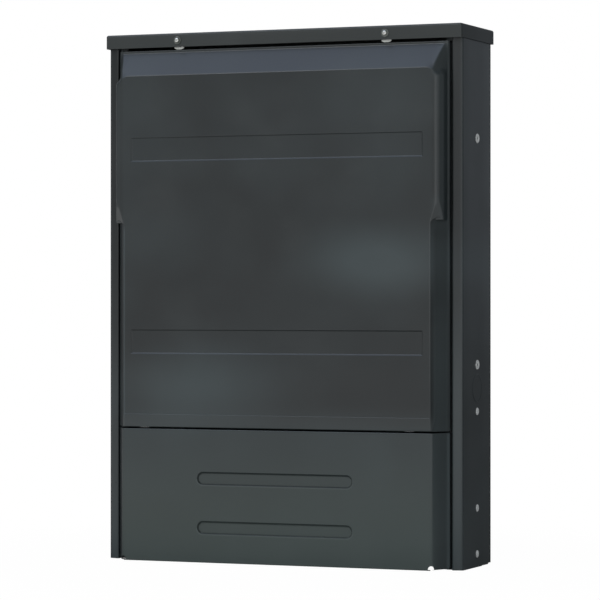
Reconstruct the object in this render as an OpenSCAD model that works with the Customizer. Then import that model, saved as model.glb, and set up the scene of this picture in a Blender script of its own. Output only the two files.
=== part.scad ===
// Cable distribution cabinet: a sheet steel ground cabinet with a hinged roof, a tilting front
// door, a base cover that pulls off, and five fuse switches on a busbar system inside.
// X runs to the right seen from the front, Y to the back, Z up. Origin under the middle.

/* [Cabinet] */
// Height over the roof
total_h = 900; // [880:1:960]
// Width over the side panels
body_w = 644; // [630:1:700]
// Depth from the front corners of the side panels to the back of the rear panel
body_d = 140; // [138:1:170]
// How far the door and the base cover stand in front of those corners
front_proud = 38; // [38:0.5:44]
// Sheet thickness of side panels, rails and brackets
post_sheet = 2; // [1.5:0.1:2.5]
// Sheet thickness of roof, door, base cover and rear panel
skin_sheet = 1.5; // [1.2:0.1:1.8]
// Radius of the bends in the side panels
post_bend = 3.5; // [3:0.1:5]

/* [Roof] */
// Overhang of the roof in front and behind
roof_over = 12; // [11:0.5:16]
// Height of the roof's skirt
roof_skirt = 23.6; // [22:0.1:28]
// Play between the roof's side skirts and the side panels
roof_side_play = 0.5; // [0.3:0.1:1]
// Radius of the roof's bends
roof_bend = 3; // [2:0.1:4]
// Distance of each roof hinge from the middle
hinge_x = 200; // [150:1:240]
// Outer radius of the hinge knuckles
knuckle_r = 4; // [3.5:0.1:4.5]
// Radius of the hinge pins
hinge_pin_r = 2; // [1.5:0.1:2.5]
// Length of each of the three knuckles in a hinge
knuckle_len = 20; // [14:1:26]

/* [Roof locks] */
// Distance of each lock from the middle
lock_x = 189; // [150:1:220]
// Height of a lock's axis above the skirt's lower edge
lock_rise = 11; // [10.5:0.1:12]
// Radius of the lock's shaft
lock_shaft_r = 3; // [2.5:0.1:3.5]
// Radius of the lock's washer
lock_washer_r = 6.8; // [6:0.1:8]
// Width of the lock's tongue
tongue_w = 17.6; // [14:0.1:18]
// Gap between the tongue and the door's top edge
tongue_gap = 1; // [0.9:0.1:1.5]

/* [Door] */
// Width of the door over its side walls
door_w = 600.6; // [590:0.1:601]
// Face width of the door below its grips
door_face_w = 555; // [540:0.5:565]
// Radius of the upright corners above the grips
door_corner_r = 16; // [10:0.5:20]
// Width of the door's face just over the grip ledge
grip_face_w = 556.4; // [555.2:0.1:562]
// Distance of the grip facet's outer edge from the door's side
grip_edge_in = 7.5; // [5:0.1:9]
// Depth of the grip facet's outer edge behind the face
grip_edge_d = 8.8; // [6:0.1:12]
// Depth of the slanted sides below the grips
bevel_d = 30.5; // [24:0.5:32]
// Height where the grips start
grip_z0 = 575; // [540:1:590]
// Height where the grips end
grip_z1 = 604; // [600:1:640]
// Height of the sloped top of the door
door_slope_h = 40.4; // [30:0.1:50]
// Height of the upright band above the slope
door_band_h = 4.5; // [3:0.1:6]
// Gap between the door's top edge and the roof's skirt
door_top_gap = 4.9; // [4.5:0.1:8]
// Depth of the two label recesses
label_depth = 1; // [0.5:0.1:1.5]
// Width of the label recesses
label_w = 528; // [400:1:530]
// Height of each label recess
label_h = 40; // [30:0.5:44]
// Lower edge of the lower label recess
label_low_z = 354; // [340:1:360]
// Drop from the foot of the slope to the lower edge of the upper label recess
label_high_drop = 145.6; // [120:0.1:150]
// Half length of the stiffeners inside the door
stiffener_half = 235; // [180:1:240]
// Half height of a stiffener with its feet
stiffener_foot = 22; // [18:0.5:26]
// Depth of a stiffener
stiffener_d = 12; // [8:0.5:14]
// Distance of a stiffener's middle from the label recess under it
stiffener_rise = 35; // [32:0.5:36]
// Width of the paper pocket
pocket_w = 230; // [210:1:320]
// Height of the paper pocket
pocket_h = 80; // [60:1:84]
// Depth of the paper pocket
pocket_d = 20; // [14:0.5:22]
// Wall of the paper pocket
pocket_wall = 2; // [1.5:0.1:3]
// Height of the paper pocket above the door's foot
pocket_rise = 32; // [24:1:34]
// Radius of the rod that the door turns on
pivot_rod_r = 2.5; // [2:0.1:2.8]
// Distance of each pivot shoe from the middle
shoe_x = 240; // [180:1:245]
// Width of a pivot shoe
shoe_w = 16; // [12:1:20]

/* [Base cover] */
// Height of the base cover's top edge
base_h = 226; // [215:1:240]
// Seam between the base cover and the door
seam = 3; // [2.8:0.1:4]
// Face width of the base cover
base_face_w = 563; // [545:0.5:570]
// Gap under the base cover
floor_gap = 1; // [0.5:0.1:3]
// Half length of the two pressed ribs
rib_half = 139.7; // [100:0.1:180]
// Height of a pressed rib
rib_h = 19.6; // [14:0.1:24]
// Depth of a pressed rib
rib_depth = 2.5; // [1.5:0.1:3]
// Middle height of the lower rib
rib_low_z = 60; // [45:0.5:80]
// Middle height of the upper rib
rib_high_z = 143; // [110:0.5:160]
// Depth of the base cover's bottom return
base_return = 15; // [10:1:25]

/* [Side panels] */
// Width of the front flange of a side panel
flange_w = 18.3; // [17:0.1:20]
// How far the flange's inner edge stands forward
flange_lift = 5; // [3:0.1:7]
// Width of the seat flange behind the door's edge
seat_w = 15.7; // [12:0.1:20]
// Width of the rear lip
rear_lip = 22; // [18:1:28]
// Radius of the knock-out
knockout_r = 23; // [18:0.5:26]
// Height of the knock-out's centre
knockout_z = 298; // [290:1:305]

/* [Screws] */
// Radius of the large side screw heads
big_head_r = 8; // [7:0.1:9]
// Radius of the small side screw heads
small_head_r = 6.25; // [5.5:0.1:7]
// Radius of the side screws' shanks
side_shank_r = 3; // [2.5:0.1:3.5]
// Height of the upper bracket screws
bracket_screw_high = 714; // [700:1:720]
// Height of the lower bracket screws
bracket_screw_low = 337; // [332:1:345]
// Height of the screws over the sill
sill_screw_z = 259.5; // [250:0.5:265]
// Height of the middle base screws
mid_screw_z = 98.5; // [80:0.5:120]
// Height of the foot screws
foot_screw_z = 22; // [18:0.5:28]
// Radius of the rear screws' heads
rear_head_r = 5; // [4:0.1:6]
// Radius of the rear screws' shanks
rear_shank_r = 2.5; // [2:0.1:3]
// Height of the lowest rear screws
rear_screw_low = 60; // [50:1:80]
// Distance of the highest rear screws under the roof's skirt
rear_screw_drop = 60; // [50:1:70]

/* [Busbars] */
// Distance between the busbars' middles
bar_pitch = 60; // [56:1:62]
// Height of the middle busbar
bar_mid_z = 580; // [575:1:585]
// Distance of the rails above and below the middle busbar
rail_offset = 100; // [96:1:104]
// Height of a busbar's section
bar_h = 30; // [20:1:34]
// Thickness of a busbar
bar_t = 5; // [4:0.5:6]
// Length of the busbars
bar_len = 560; // [540:1:590]
// Distance of each busbar support from the middle
support_x = 190; // [160:1:230]
// Depth of a busbar support
support_d = 11; // [9:0.5:14]
// Width of a busbar support
support_w = 24; // [20:1:30]
// Depth of the mounting rails
rail_d = 10; // [8:0.5:12]
// Sheet thickness of the mounting rails and the cable rail
rail_sheet = 1.5; // [1.2:0.1:2]
// Distance from one clamp to the next on the neutral and earth bar
pen_pitch = 60; // [50:1:62]
// Width of a clamp on the neutral and earth bar
pen_clamp_w = 22; // [18:1:28]
// Depth of a clamp on the neutral and earth bar
pen_clamp_d = 14; // [12:0.5:18]
// Radius of the clamp's bolt
pen_bolt_r = 4; // [3:0.1:5]
// Height of the mounting rails' section
rail_h = 24; // [20:1:28]

/* [Fuse switches] */
// Distance from one fuse switch to the next
switch_pitch = 106; // [106:0.5:108]
// Width of one fuse switch
switch_w = 105; // [100:0.5:105.6]
// Height of a fuse switch's base
switch_h = 200; // [196:1:210]
// Depth of a fuse switch's base
switch_d = 35; // [34:0.5:38]
// Height of the lid above its pin
lid_h = 103; // [100:0.5:104]
// Wall of the lid and the base
plastic_wall = 2; // [1.6:0.1:2.6]
// Radius of the lid's pin
lid_pin_r = 2; // [1.6:0.1:2.4]
// Distance between the poles
pole_pitch = 32; // [30:0.5:33]
// Width of a fuse link's body
link_w = 21; // [16:0.5:22]
// Thickness of a fuse link's blades
blade_t = 6; // [4:0.5:7]
// Width of a link's knife blades, front to back
blade_w = 17; // [14:0.5:18]
// Length of a link's knife blades
blade_len = 17; // [14:0.5:18]
// Depth of a fuse link's body
link_d = 26; // [22:0.5:27]

/* [Cable space] */
// Drop from the sill's top to the cable rail's middle
cable_rail_drop = 38.4; // [37:0.1:60]
// Height of the cable rail's section
cable_rail_h = 24; // [20:1:28]
// Depth of the cable rail
cable_rail_d = 18; // [12:0.5:22]
// Height of a cable clamp
clamp_h = 20; // [14:1:22]
// Wall of a cable clamp around the cable
clamp_wall = 5; // [4:0.5:7]
// Radius of the cable held in a clamp
cable_r = 13; // [9:0.5:14]
// Bore radius of the foot holes
foot_hole_r = 5.5; // [4:0.5:6.5]
// Distance between the foot holes from front to back
foot_hole_span = 80; // [60:1:90]
// Radius of the wall fixing holes in the rear panel
wall_hole_r = 4.5; // [3:0.5:6]
// Distance between the wall fixing holes across
wall_hole_span_x = 480; // [400:1:520]
// Distance between the wall fixing holes upwards
wall_hole_span_z = 700; // [600:1:700]
// Height of the lower wall fixing holes
wall_hole_low_z = 110; // [80:1:120]

/* [Clearances] */
// Gap between the door's back edge and the seat flange
seat_play = 0.5; // [0.4:0.1:0.8]
// Radial play of shafts and pins in their holes
run_play = 0.08; // [0.05:0.01:0.1]
// Radial play of screws in plain holes
screw_play = 0.3; // [0.2:0.05:0.5]
// Play between parts that slide or swing past each other
slide_play = 0.3; // [0.3:0.05:0.5]

/* [Hidden] */

$fn = 48;
bend_steps = 4;
eps = 0.01;

// Planes from front to back
y_face = -(front_proud + body_d + roof_over) / 2;
y_post = y_face + front_proud;
y_rear = y_post + body_d;
y_lip = y_rear - skin_sheet;
y_lip_in = y_lip - post_sheet;
y_seat = y_post + 7;
y_edge = y_seat - seat_play;
y_frame = y_seat + post_sheet;
y_roof_front = y_post - roof_over;
y_roof_back = y_rear + roof_over;
y_mid = y_post + 70;

// Heights
z_lip = total_h - roof_skirt;
z_under_roof = total_h - skin_sheet;
z_post_top = z_under_roof - 1.5;
z_door0 = base_h + seam;
z_door1 = z_lip - door_top_gap;
z_slope0 = z_door1 - door_band_h - door_slope_h;
z_lock = z_lip + lock_rise;

// Half widths
half_body = body_w / 2;
half_in = half_body - post_sheet;
half_door = door_w / 2;
x_flange = half_body - flange_w;

// Roof hinges
y_hinge = y_rear + skin_sheet + knuckle_r;
z_hinge = z_lip + 1.6;
hinge_len = 3 * knuckle_len;
leaf_h = 24;

// Door pivot
y_rod = y_face + skin_sheet + pivot_rod_r;
z_rod = z_door0 + skin_sheet + pivot_rod_r;
rod_half = 262;
z_sill_top = z_door0 + skin_sheet - run_play - post_sheet;
cable_rail_z = z_sill_top - cable_rail_drop;
label_high_z = z_slope0 - label_high_drop;

// Fuse gear, from the rear forwards
y_rail = y_lip_in - post_sheet;
y_support = y_rail - rail_d;
y_bar = y_support - support_d;
y_bar_front = y_bar - bar_t;
y_switch = y_bar_front - switch_d;
y_pin = y_switch - 5;
z_switch0 = bar_mid_z - switch_h / 2;
z_pin = z_switch0 + 50;
lid_back = y_switch - slide_play;
lid_front = y_pin - 18;
ear_w = 4;
lid_half = switch_w / 2 - ear_w - slide_play;
n_switches = 5;

function unit(v) = v / norm(v);
function left_of(v) = [-v[1], v[0]];

// Points of a bend of radius r where the path a, b, c turns at b
function bend(a, b, c, r) =
    let (u = unit(b - a), v = unit(c - b), turn = sign(cross(u, v)), angle = acos(u * v),
         start = b - u * r * tan(angle / 2))
    [for (k = [0:bend_steps]) let (q = angle * k / bend_steps)
        start + r * (sin(q) * u + turn * (1 - cos(q)) * left_of(u))];

// A path with a bend of radius r at each of its corners
function bent(path, r) = concat(
    [path[0]],
    [for (i = [1:len(path) - 2]) each bend(path[i - 1], path[i], path[i + 1], r)],
    [path[len(path) - 1]]);

// The same path at distance t to its left
function shifted(path, t) =
    [for (i = [0:len(path) - 1])
        let (last = len(path) - 1,
             u = unit(path[max(i, 1)] - path[max(i, 1) - 1]),
             v = unit(path[min(i, last - 1) + 1] - path[min(i, last - 1)]))
        path[i] + (left_of(u) + left_of(v)) * t / (1 + u * v)];

// Outline of a bent sheet of thickness t that lies to the left of its path
function sheet(path, t) =
    let (other = shifted(path, t))
    concat(path, [for (i = [len(path) - 1:-1:0]) other[i]]);

module upright(z0, z1) translate([0, 0, z0]) linear_extrude(z1 - z0) children();
module along_x(x0, x1) translate([x0, 0, 0]) rotate([90, 0, 90]) linear_extrude(x1 - x0) children();
module rod_x(r, x0, x1, y, z) translate([x0, y, z]) rotate([0, 90, 0]) cylinder(r = r, h = x1 - x0);
module rod_y(r, y0, y1, x, z) translate([x, y0, z]) rotate([-90, 0, 0]) cylinder(r = r, h = y1 - y0);
module block(x0, x1, y0, y1, z0, z1) translate([x0, y0, z0]) cube([x1 - x0, y1 - y0, z1 - z0]);
module both_sides() { children(); mirror([1, 0, 0]) children(); }

// Side panels

function post_path() = [
    [half_body - rear_lip, y_lip], [half_body, y_lip], [half_body, y_post],
    [x_flange, y_post - flange_lift], [x_flange, y_seat], [x_flange - seat_w, y_seat]];

module side_hole(z) rod_x(side_shank_r + screw_play, half_in - 2 * post_sheet, half_body + 1, y_mid, z);

module side_panel() {
    hook_slot_x = half_door - skin_sheet - post_sheet;
    color([0.22, 0.24, 0.24]) difference() {
        upright(0, z_post_top) polygon(sheet(bent(post_path(), post_bend), -post_sheet));
        for (z = [bracket_screw_high, bracket_screw_low, sill_screw_z, mid_screw_z, foot_screw_z])
            side_hole(z);
        // Ring of the half sheared knock-out
        difference() {
            rod_x(knockout_r, half_body - 0.8, half_body + 1, y_mid, knockout_z);
            rod_x(knockout_r - 0.8, half_body - 1, half_body + 1, y_mid, knockout_z);
        }
        // Slots for the base cover's hooks
        for (z = hook_heights())
            block(hook_slot_x - 0.6, hook_slot_x + post_sheet + 0.6, y_seat - 1, y_frame + 1,
                  z - hook_h / 2 - 1, z + hook_h / 2 + 1);
        for (z = rear_screw_heights())
            rod_y(rear_shank_r + screw_play, y_lip_in - 1, y_lip + 1, rear_screw_x, z);
        // The bottom edge steps up towards the back
        block(half_in - 1, half_body + 1, y_post + 95, y_lip + 1, -1, 2.5);
    }
}
module side_panel_right() side_panel();
module side_panel_left() mirror([1, 0, 0]) side_panel();

// Rear panel with its wall fixing holes

module rear_panel() {
    color([0.22, 0.24, 0.24]) difference() {
        union() {
            block(-half_body, half_body, y_lip, y_rear, 2.5, z_lip - 1.4);
            // Pressed stiffening ribs
            for (x = [-110, 110])
                block(x - 12, x + 12, y_lip - 3, y_lip + eps, 200, 700);
        }
        for (x = [-110, 110])
            block(x - 12 + skin_sheet, x + 12 - skin_sheet, y_lip - 3 + skin_sheet, y_rear + 1,
                  200 + skin_sheet, 700 - skin_sheet);
        for (x = [-1, 1], z = [0, 1])
            rod_y(wall_hole_r, y_lip - 1, y_rear + 1, x * wall_hole_span_x / 2,
                  wall_hole_low_z + z * wall_hole_span_z);
        for (x = [-1, 1], z = rear_screw_heights())
            rod_y(rear_shank_r + screw_play, y_lip - 1, y_rear + 1, x * rear_screw_x, z);
    }
}

rear_screw_x = half_body - rear_lip / 2;
function rear_screw_heights() = let (span = z_lip - rear_screw_drop - rear_screw_low)
    [for (k = [0:3]) rear_screw_low + k * span / 3];

module rear_screws() {
    color([0.75, 0.75, 0.73]) for (x = [-1, 1], z = rear_screw_heights()) difference() {
        union() {
            rod_y(rear_head_r, y_rear, y_rear + 2.5, x * rear_screw_x, z);
            rod_y(rear_shank_r, y_lip_in + 0.5, y_rear + eps, x * rear_screw_x, z);
        }
        translate([x * rear_screw_x, y_rear + 1, z]) rotate([-90, 30, 0]) cylinder(r = 2.6, h = 3, $fn = 6);
    }
}

// Rails of the frame

function rail_path(y0, z0, z1, depth) = [[y0 + depth, z1], [y0, z1], [y0, z0], [y0 + depth, z0]];

module cross_rail(y0, z0, z1, depth, half = half_in)
    along_x(-half, half) polygon(sheet(bent(rail_path(y0, z0, z1, depth), 2.5), post_sheet));

module top_rail_front() color([0.22, 0.24, 0.24]) cross_rail(y_frame, z_door1 - 24, z_door1 + 1.5, 20);
module top_rail_rear() color([0.22, 0.24, 0.24])
    translate([0, 2 * y_lip_in, 0]) mirror([0, 1, 0])
        cross_rail(y_lip_in, z_lip - 27, z_lip - 2, 20, half_in - post_bend);
module sill_rail() color([0.22, 0.24, 0.24]) cross_rail(y_frame, z_sill_top - 24, z_sill_top, 20);

// Foot angles that bolt to the ground frame

foot_leg = 36;
foot_sheet = 3;
x_foot_hole = half_in - 20;
y_foot_mid = y_post + 80;

module foot_angle() {
    foot_path = [[half_in - foot_leg, 0], [half_in, 0], [half_in, 40]];
    color([0.55, 0.56, 0.56]) difference() {
        translate([0, y_lip_in - post_bend, 0]) rotate([90, 0, 0])
            linear_extrude(y_lip_in - post_bend - y_frame - 1) polygon(sheet(foot_path, foot_sheet));
        for (s = [-1, 1])
            translate([x_foot_hole, y_foot_mid + s * foot_hole_span / 2, -1])
                cylinder(r = foot_hole_r, h = foot_sheet + 2);
        rod_x(side_shank_r + screw_play, half_in - foot_sheet - 1, half_in + 1, y_mid, foot_screw_z);
    }
}
module foot_angle_right() foot_angle();
module foot_angle_left() mirror([1, 0, 0]) foot_angle();

// Side screws with their nuts; inside is the face that the nut lies on

module side_screw(z, head_r, inside) {
    color([0.75, 0.75, 0.73]) both_sides() {
        difference() {
            union() {
                rod_x(head_r, half_body, half_body + head_h, y_mid, z);
                rod_x(side_shank_r, inside - 9, half_body + eps, y_mid, z);
            }
            translate([half_body + head_h - 1.2, y_mid, z]) rotate([0, 90, 0])
                cylinder(r = head_r * 0.45, h = 3, $fn = 6);
        }
        difference() {
            translate([inside - 5, y_mid, z]) rotate([0, 90, 0]) cylinder(r = 5.8, h = 5, $fn = 6);
            rod_x(side_shank_r + run_play, inside - 6, inside + 1, y_mid, z);
        }
    }
}
head_h = 2;

module side_screws_upper()
    for (z = [bracket_screw_high, bracket_screw_low]) side_screw(z, big_head_r, half_in - post_sheet);

module side_screws_lower() {
    side_screw(sill_screw_z, small_head_r, half_in);
    side_screw(mid_screw_z, small_head_r, half_in);
    side_screw(foot_screw_z, small_head_r, half_in - foot_sheet);
}

// Door: a tray with sloped top, rounded corners above the grips and slanted sides below

// Plan of a front cover: slanted sides where face_w is given, square ones where it isn't
function cover_plan(face_w, r) = let (y_bevel = y_face + bevel_d)
    is_undef(face_w)
    ? bent([[-half_door, y_edge], [-half_door, y_face], [half_door, y_face], [half_door, y_edge]], r)
    : bent([[-half_door, y_edge], [-half_door, y_bevel], [-face_w / 2, y_face],
            [face_w / 2, y_face], [half_door, y_bevel], [half_door, y_edge]], r);

// Plan just over the grip ledge: the corner flattened to a facet that a hand reaches behind
function grip_plan() = let (x = half_door - grip_edge_in)
    bent([[-half_door, y_edge], [-half_door, y_face + bevel_d], [-x, y_face + grip_edge_d],
          [-grip_face_w / 2, y_face], [grip_face_w / 2, y_face], [x, y_face + grip_edge_d],
          [half_door, y_face + bevel_d], [half_door, y_edge]], 1.6);

// The plan as an area, moved inwards by t and open to the back
function plan_area(path, t) = let (p = t > 0 ? shifted(path, t) : path, back = y_edge + (t > 0 ? 1 : 0))
    concat([[p[0][0], back]], p, [[p[len(p) - 1][0], back]]);

module door_form(t) {
    low = cover_plan(door_face_w, 3);
    high = cover_plan(undef, door_corner_r);
    y_band = y_edge - 15;
    side = [[y_edge, z_door0], [y_face, z_door0], [y_face, z_slope0],
            [y_band, z_door1 - door_band_h], [y_band, z_door1], [y_edge, z_door1]];
    s = shifted(side, -t);
    back = y_edge + (t > 0 ? 1 : 0);
    intersection() {
        union() {
            upright(z_door0 - 1, grip_z0 + t) polygon(plan_area(low, t));
            hull() {
                upright(grip_z0 + t, grip_z0 + t + eps) polygon(plan_area(grip_plan(), t));
                upright(grip_z1, grip_z1 + eps) polygon(plan_area(high, t));
            }
            upright(grip_z1, z_door1 + 1) polygon(plan_area(high, t));
        }
        along_x(-half_door - 1, half_door + 1)
            polygon(concat([[back, s[0][1]]], s, [[back, s[len(s) - 1][1]]]));
    }
}

module door() {
    color([0.24, 0.26, 0.26]) difference() {
        union() {
            difference() {
                door_form(0);
                door_form(skin_sheet);
            }
            for (z = [label_low_z, label_high_z])
                block(-label_w / 2 - 2, label_w / 2 + 2, y_face + eps, y_face + skin_sheet + label_depth,
                      z - 2, z + label_h + 2);
        }
        for (z = [label_low_z, label_high_z])
            block(-label_w / 2, label_w / 2, y_face - 1, y_face + label_depth, z, z + label_h);
        // Notches in the bottom return for the pivot shoes
        for (s = [-1, 1])
            block(s * shoe_x - shoe_w / 2 - 2, s * shoe_x + shoe_w / 2 + 2, y_face + skin_sheet, y_edge + 1,
                  z_door0 - 1, z_door0 + skin_sheet + eps);
    }
}

module door_pivot_rod() color([0.6, 0.6, 0.6]) rod_x(pivot_rod_r, -rod_half, rod_half, y_rod, z_rod);

module door_pivot_shoes() {
    bore = pivot_rod_r + run_play;
    color([0.55, 0.56, 0.56]) for (s = [-1, 1]) difference() {
        union() {
            block(s * shoe_x - shoe_w / 2, s * shoe_x + shoe_w / 2, y_rod, y_frame + 18,
                  z_sill_top, z_sill_top + post_sheet);
            block(s * shoe_x - shoe_w / 2, s * shoe_x + shoe_w / 2, y_rod, y_rod + 7,
                  z_sill_top, z_rod + pivot_rod_r + 0.5);
        }
        rod_x(bore, s * shoe_x - shoe_w, s * shoe_x + shoe_w, y_rod, z_rod);
    }
}

// Hat sections welded across the inside of the door
module door_stiffeners() {
    y0 = y_face + skin_sheet;
    crown = stiffener_foot - 10;
    y1 = y0 + stiffener_d;
    hat = [[y0, -stiffener_foot], [y0, -crown], [y1, 3 - crown], [y1, crown - 3], [y0, crown],
           [y0, stiffener_foot]];
    color([0.24, 0.26, 0.26]) for (z = [label_low_z, label_high_z] + [1, 1] * (label_h + stiffener_rise))
        along_x(-stiffener_half, stiffener_half) translate([0, z]) polygon(sheet(hat, -1.2));
}

// Open pocket for the circuit papers, low on the inside of the door
module document_pocket() {
    y0 = y_face + skin_sheet;
    z0 = z_door0 + pocket_rise;
    half = pocket_w / 2;
    color([0.8, 0.8, 0.78]) difference() {
        block(-half, half, y0, y0 + pocket_d, z0, z0 + pocket_h);
        block(pocket_wall - half, half - pocket_wall, y0 + pocket_wall, y0 + pocket_d - pocket_wall,
              z0 + pocket_wall, z0 + pocket_h + 1);
    }
}

// Base cover: a tray with slanted sides, two pressed ribs and relief notches at the foot

module base_form(t) {
    side = [[y_edge, base_h], [y_face, base_h], [y_face, floor_gap], [y_edge, floor_gap]];
    s = shifted(side, t);
    back = y_edge + (t > 0 ? 1 : 0);
    intersection() {
        upright(floor_gap - 1, base_h + 1) polygon(plan_area(cover_plan(base_face_w, 5), t));
        along_x(-half_door - 1, half_door + 1)
            polygon(concat([[back, s[0][1]]], s, [[back, s[len(s) - 1][1]]]));
    }
}

// A slot shape with round ends, lying across the face
module pill(half, h, y0, y1, z) {
    block(-half + h / 2, half - h / 2, y0, y1, z - h / 2, z + h / 2);
    for (s = [-1, 1]) rod_y(h / 2, y0, y1, s * (half - h / 2), z);
}

module base_cover() {
    color([0.24, 0.26, 0.26]) difference() {
        union() {
            difference() {
                base_form(0);
                base_form(skin_sheet);
            }
            for (z = [rib_low_z, rib_high_z])
                pill(rib_half + 1, rib_h + 2, y_face + eps, y_face + skin_sheet + rib_depth, z);
        }
        for (z = [rib_low_z, rib_high_z])
            pill(rib_half - 1, rib_h - 2, y_face - 1, y_face + rib_depth, z);
        // The bottom return is narrow
        block(-half_door - 1, half_door + 1, y_face + base_return, y_edge + 2, -1, floor_gap + skin_sheet + eps);
        // Round relief notches where the bottom return meets the slanted sides
        for (s = [-1, 1])
            rod_y(6, y_face - 1, y_face + base_return + 1, s * (base_face_w / 2 - 2), floor_gap);
    }
}

hook_h = 16;
function hook_heights() = [50, base_h - 46];

module base_cover_hooks() {
    x0 = half_door - skin_sheet - post_sheet;
    color([0.6, 0.6, 0.6]) both_sides() for (z = hook_heights())
        block(x0, x0 + post_sheet, y_edge - 8, y_frame + 10, z - hook_h / 2, z + hook_h / 2);
}

// Roof: a tray with rounded bends, turned on two hinges at the rear

module roof_form(t) {
    x1 = half_body + roof_side_play + skin_sheet - t;
    y0 = y_roof_front + t;
    y1 = y_roof_back - t;
    z1 = total_h - t;
    z0 = z_lip - (t > 0 ? 1 : 0);
    r = roof_bend - t;
    front = [[y0, z0], [y0, z1], [y1, z1], [y1, z0]];
    wide = [[-x1, z0], [-x1, z1], [x1, z1], [x1, z0]];
    intersection() {
        along_x(-x1, x1) polygon(bent(front, r));
        translate([0, y1, 0]) rotate([90, 0, 0]) linear_extrude(y1 - y0) polygon(bent(wide, r));
    }
}

module roof() {
    color([0.23, 0.25, 0.24]) difference() {
        roof_form(0);
        roof_form(skin_sheet);
        for (s = [-1, 1])
            rod_y(lock_shaft_r + run_play, y_roof_front - 1, y_roof_front + skin_sheet + 1, s * lock_x, z_lock);
    }
}

// One knuckle with its web to the leaf at y0
module knuckle(x0, x1, y0, up) {
    z0 = up > 0 ? z_hinge : z_hinge - knuckle_r;
    difference() {
        union() {
            rod_x(knuckle_r, x0, x1, y_hinge, z_hinge);
            block(x0, x1, min(y0, y_hinge), max(y0, y_hinge), z0, z0 + knuckle_r);
        }
        rod_x(hinge_pin_r + run_play, x0 - 1, x1 + 1, y_hinge, z_hinge);
    }
}

module roof_hinge_leaves() {
    half = knuckle_len / 2;
    color([0.3, 0.32, 0.32]) for (s = [-1, 1]) {
        block(s * hinge_x - hinge_len / 2, s * hinge_x + hinge_len / 2, y_rear, y_rear + skin_sheet,
              z_hinge - leaf_h, z_hinge - 4.4);
        block(s * hinge_x - half, s * hinge_x + half, y_rear, y_rear + skin_sheet, z_hinge - 5, z_hinge);
        knuckle(s * hinge_x - half, s * hinge_x + half, y_rear + eps, -1);
    }
}

module roof_hinge_knuckles() {
    y_leaf = y_roof_back - skin_sheet;
    color([0.3, 0.32, 0.32]) for (s = [-1, 1]) {
        difference() {
            block(s * hinge_x - hinge_len / 2, s * hinge_x + hinge_len / 2, y_leaf - skin_sheet, y_leaf,
                  z_hinge, z_under_roof - 2.5);
            block(s * hinge_x - knuckle_len / 2 - 0.2, s * hinge_x + knuckle_len / 2 + 0.2,
                  y_leaf - 2 * skin_sheet, y_leaf + 1, z_hinge - 1, z_hinge + knuckle_r + run_play);
        }
        for (e = [-1, 1]) {
            mid = s * hinge_x + e * knuckle_len;
            knuckle(mid - knuckle_len / 2 + 0.2, mid + knuckle_len / 2 - 0.2, y_leaf - eps, 1);
        }
    }
}

module roof_hinge_pins() {
    color([0.7, 0.7, 0.7]) for (s = [-1, 1])
        rod_x(hinge_pin_r, s * hinge_x - hinge_len / 2 - 1, s * hinge_x + hinge_len / 2 + 1, y_hinge, z_hinge);
}

// Quarter-turn locks in the roof's front skirt

washer_t = 1.2;
tongue_t = 2;
y_tongue = y_roof_front + 7;
lock_nut_t = 3;

module lock_screw(x) {
    color([0.75, 0.75, 0.73]) difference() {
        union() {
            rod_y(4.5, y_roof_front - 0.1 - washer_t - 3, y_roof_front - 0.1 - washer_t, x, z_lock);
            rod_y(lock_shaft_r, y_roof_front - 2, y_tongue + tongue_t + lock_nut_t + 1, x, z_lock);
            rod_y(5, y_roof_front + skin_sheet + 0.1, y_tongue, x, z_lock);
        }
        translate([x, y_roof_front - 5.3, z_lock]) rotate([-90, 30, 0]) cylinder(r = 2.6, h = 3, $fn = 3);
    }
}
module lock_washer(x) {
    color([0.8, 0.8, 0.78]) difference() {
        rod_y(lock_washer_r, y_roof_front - 0.1 - washer_t, y_roof_front - 0.1, x, z_lock);
        rod_y(lock_shaft_r + run_play, y_roof_front - 3, y_roof_front + 1, x, z_lock);
    }
}
// Flat tongue that hangs behind the skirt, with the nut that holds it
module lock_tongue(x) {
    z0 = z_door1 + tongue_gap;
    color([0.8, 0.8, 0.78]) {
        difference() {
            intersection() {
                block(x - tongue_w / 2, x + tongue_w / 2, y_tongue, y_tongue + tongue_t, z0, z_lock + 6);
                // Round end that swings past the door's top edge
                rod_y(z_lock - z_door1 - tongue_gap / 2, y_tongue, y_tongue + tongue_t, x, z_lock);
            }
            rod_y(lock_shaft_r + run_play, y_tongue - 1, y_tongue + tongue_t + 1, x, z_lock);
        }
        difference() {
            translate([x, y_tongue + tongue_t, z_lock]) rotate([-90, 0, 0])
                cylinder(r = 5.5, h = lock_nut_t, $fn = 6);
            rod_y(lock_shaft_r + run_play, y_tongue, y_tongue + tongue_t + lock_nut_t + 1, x, z_lock);
        }
    }
}
module lock_screw_left() lock_screw(-lock_x);
module lock_screw_right() lock_screw(lock_x);
module lock_washer_left() lock_washer(-lock_x);
module lock_washer_right() lock_washer(lock_x);
module lock_tongue_left() lock_tongue(-lock_x);
module lock_tongue_right() lock_tongue(lock_x);

// Gear frame inside: two upright brackets on the side panels and three rails between them

bracket_lap = 17;
z_bracket0 = bracket_screw_low - bracket_lap;
z_bracket1 = bracket_screw_high + bracket_lap;
bracket_leg = 32;
x_bracket = half_in - bracket_leg;

module gear_bracket() {
    bracket_path = [[half_in, y_mid - 10], [half_in, y_lip_in], [x_bracket, y_lip_in]];
    color([0.7, 0.71, 0.71]) difference() {
        upright(z_bracket0, z_bracket1) polygon(sheet(bent(bracket_path, 3), post_sheet));
        for (z = [bracket_screw_high, bracket_screw_low]) side_hole(z);
    }
}
module gear_bracket_right() gear_bracket();
module gear_bracket_left() mirror([1, 0, 0]) gear_bracket();

function gear_rail_heights() = [bar_mid_z + rail_offset, bar_mid_z - rail_offset, bracket_screw_low];

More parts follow.
